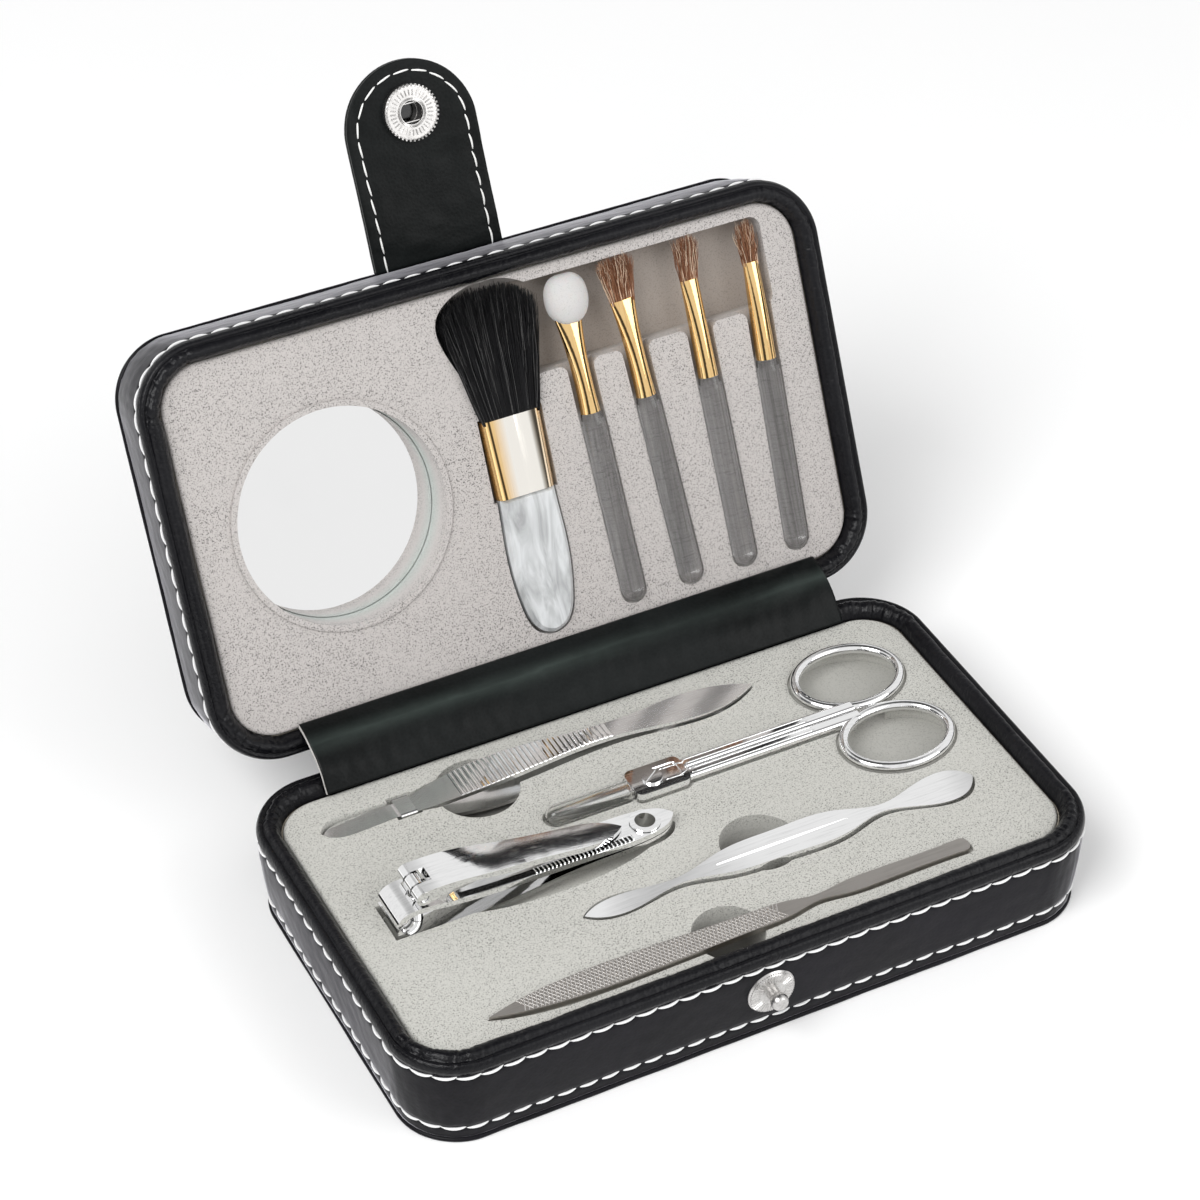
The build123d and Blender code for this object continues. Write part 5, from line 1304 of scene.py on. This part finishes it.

# %% [markdown]
# ## The press snap
# Rings of rays and beads are dropped on to the stud and the socket with the rib tree. The socket's hole is
# deep and shaded, so a dark disc of painted shade lies just above its floor.

# %% Rays and beads on the snap
STUD_HEIGHT = -8.3
SOCKET_DEPTH, WELL_RADIUS, WELL_SIDES = 3.5, 2.45, 40
socket_at = carried((STRAP_X, SOCKET_V, STRAP_TOP + 1.5), LID_TRAY)[0]
stud_seat_y = -(CASE_DEPTH / 2 - wall_inset(STUD_HEIGHT) - 0.2)
stud_at = np.array((STRAP_X, stud_seat_y - 1.4, BASE_HEIGHT + STUD_HEIGHT)) * MM
SNAP_HALVES = {"stud": (skin_of(nodes["snap_stud"]), stud_at, (0, -1, 0), "base"),
               "socket": (skin_of(nodes["snap_socket"]), socket_at, TRAY_OUT, "tab")}
# Radius of each ring, half width, pitch, width and height of its ribs, in metres.
SNAP_RINGS = {
    "stud_rays": (0.0037, 0.0009, 0.00062, 0.00030, 0.00012),
    "stud_beads": (0.0048, 0.00014, 0.00050, 0.00028, 0.00012),
    "socket_knurl": (0.00575, 0.00030, 0.00090, 0.00055, 0.00030),
    "socket_ridges": (0.0042, 0.00060, 0.00080, 0.00030, 0.00015),
    "socket_inner_beads": (0.0029, 0.00022, 0.00030, 0.00035, 0.00022),
}
for name, (radius, reach, pitch, width, height) in SNAP_RINGS.items():
    skin, centre, facing, body = SNAP_HALVES[name.split("_")[0]]
    points, normals, reaches = ring_line(centre, facing, radius, reach)
    ribs_on(name, (dropped(skin, points, normals), normals, reaches), body, nickel, pitch, width,
            height, closed=True)
# Painted shade: a dark disc near the floor of the socket's hole stands in for the shade inside it.
well_floor = socket_at - np.array(TRAY_OUT) * (SOCKET_DEPTH - 0.03) * MM
well_points = np.vstack([ring_line(well_floor, TRAY_OUT, WELL_RADIUS * MM, 0.0, WELL_SIDES)[0], [well_floor]])
new_piece("socket_well_shade", well_points / MM, [(i, (i + 1) % WELL_SIDES, WELL_SIDES) for i in range(WELL_SIDES)],
          shade_chrome, NO_TRAY, "tab")
print("well floor", np.round(well_floor / MM, 2))

# %% [markdown]
# ## Floor, light and camera
# The set is shown as in a light tent: a pale floor, a bright even surround, and one soft key lamp from the
# upper left that gives the leather its long highlights. Dark flags in the surround give the metal its edges.

# %% Floor
FLOOR_HALF = 3.0
floor_mesh = bpy.data.meshes.new("floor")
floor_mesh.from_pydata([(x * FLOOR_HALF, y * FLOOR_HALF, 0) for x, y in ((-1, -1), (1, -1), (1, 1), (-1, 1))],
                       [], [(0, 1, 2, 3)])
floor_mesh.materials.append(finish("pale_floor", Base_Color=grey(0.95), Roughness=0.8))
floor = added("floor", floor_mesh)
print("floor", 2 * FLOOR_HALF, "m wide")

# %% Light
scene.world = bpy.data.worlds.new("studio")
scene.world.use_nodes = True
tent = Tree(scene.world.node_tree)
toward_sky = tent.vector("NORMALIZE", tent("ShaderNodeTexCoord").outputs["Generated"])
SKY_STRENGTH = 0.86
# Direction of each dark flag, cosines at its edge and its core, and how dark it is.
SKY_FLAGS = [((0.05, 0.25, 0.97), 0.84, 0.95, 0.90), ((-0.93, 0.15, 0.34), 0.88, 0.97, 0.85),
             ((0.66, 0.68, 0.30), 0.972, 0.993, 0.65), ((-0.60, -0.80, 0.12), 0.955, 0.985, 0.92),
             ((0.82, -0.56, 0.10), 0.960, 0.985, 0.92)]
light_left = 1.0
for facing, edge, core, depth in SKY_FLAGS:
    toward_flag = tent.dot(toward_sky, tuple(Vector(facing).normalized()))
    light_left = tent.times(light_left, tent.between(toward_flag, edge, core, 1.0, 1.0 - depth))
backdrop = scene.world.node_tree.nodes["Background"].inputs
tent.feed(backdrop["Color"], tent("ShaderNodeCombineColor", {0: light_left, 1: light_left, 2: light_left}))
backdrop["Strength"].default_value = SKY_STRENGTH


def soft_light(name, place, size, power, target=(0, 0.03, 0.03)):
    lamp = bpy.data.lights.new(name, "AREA")
    lamp.shape = "SQUARE"
    lamp.size = size
    lamp.energy = power
    holder = added(name, lamp)
    holder.location = place
    holder.rotation_euler = (Vector(target) - Vector(place)).to_track_quat("-Z", "Y").to_euler()


soft_light("key", (-0.75, -0.35, 1.0), 0.7, 11.0)
soft_light("fill", (0.7, -0.8, 0.7), 0.8, 4.0)
scene.view_settings.view_transform = "Standard"

# %% Camera
camera_data = bpy.data.cameras.new("camera")
camera_data.lens = 107.06
camera_data.sensor_width = 36.0
camera = added("camera", camera_data)
right = Vector((0.89135, -0.45331, -0.00297)).normalized()
back = -Vector((0.34866, 0.68973, -0.63459)).normalized()
turned = Matrix((right, back.cross(right), back)).transposed()
camera.matrix_world = Matrix.Translation((-0.25494, -0.47241, 0.51971)) @ turned.to_4x4()
scene.camera = camera
print("camera height", round(camera.matrix_world.translation.z, 3))
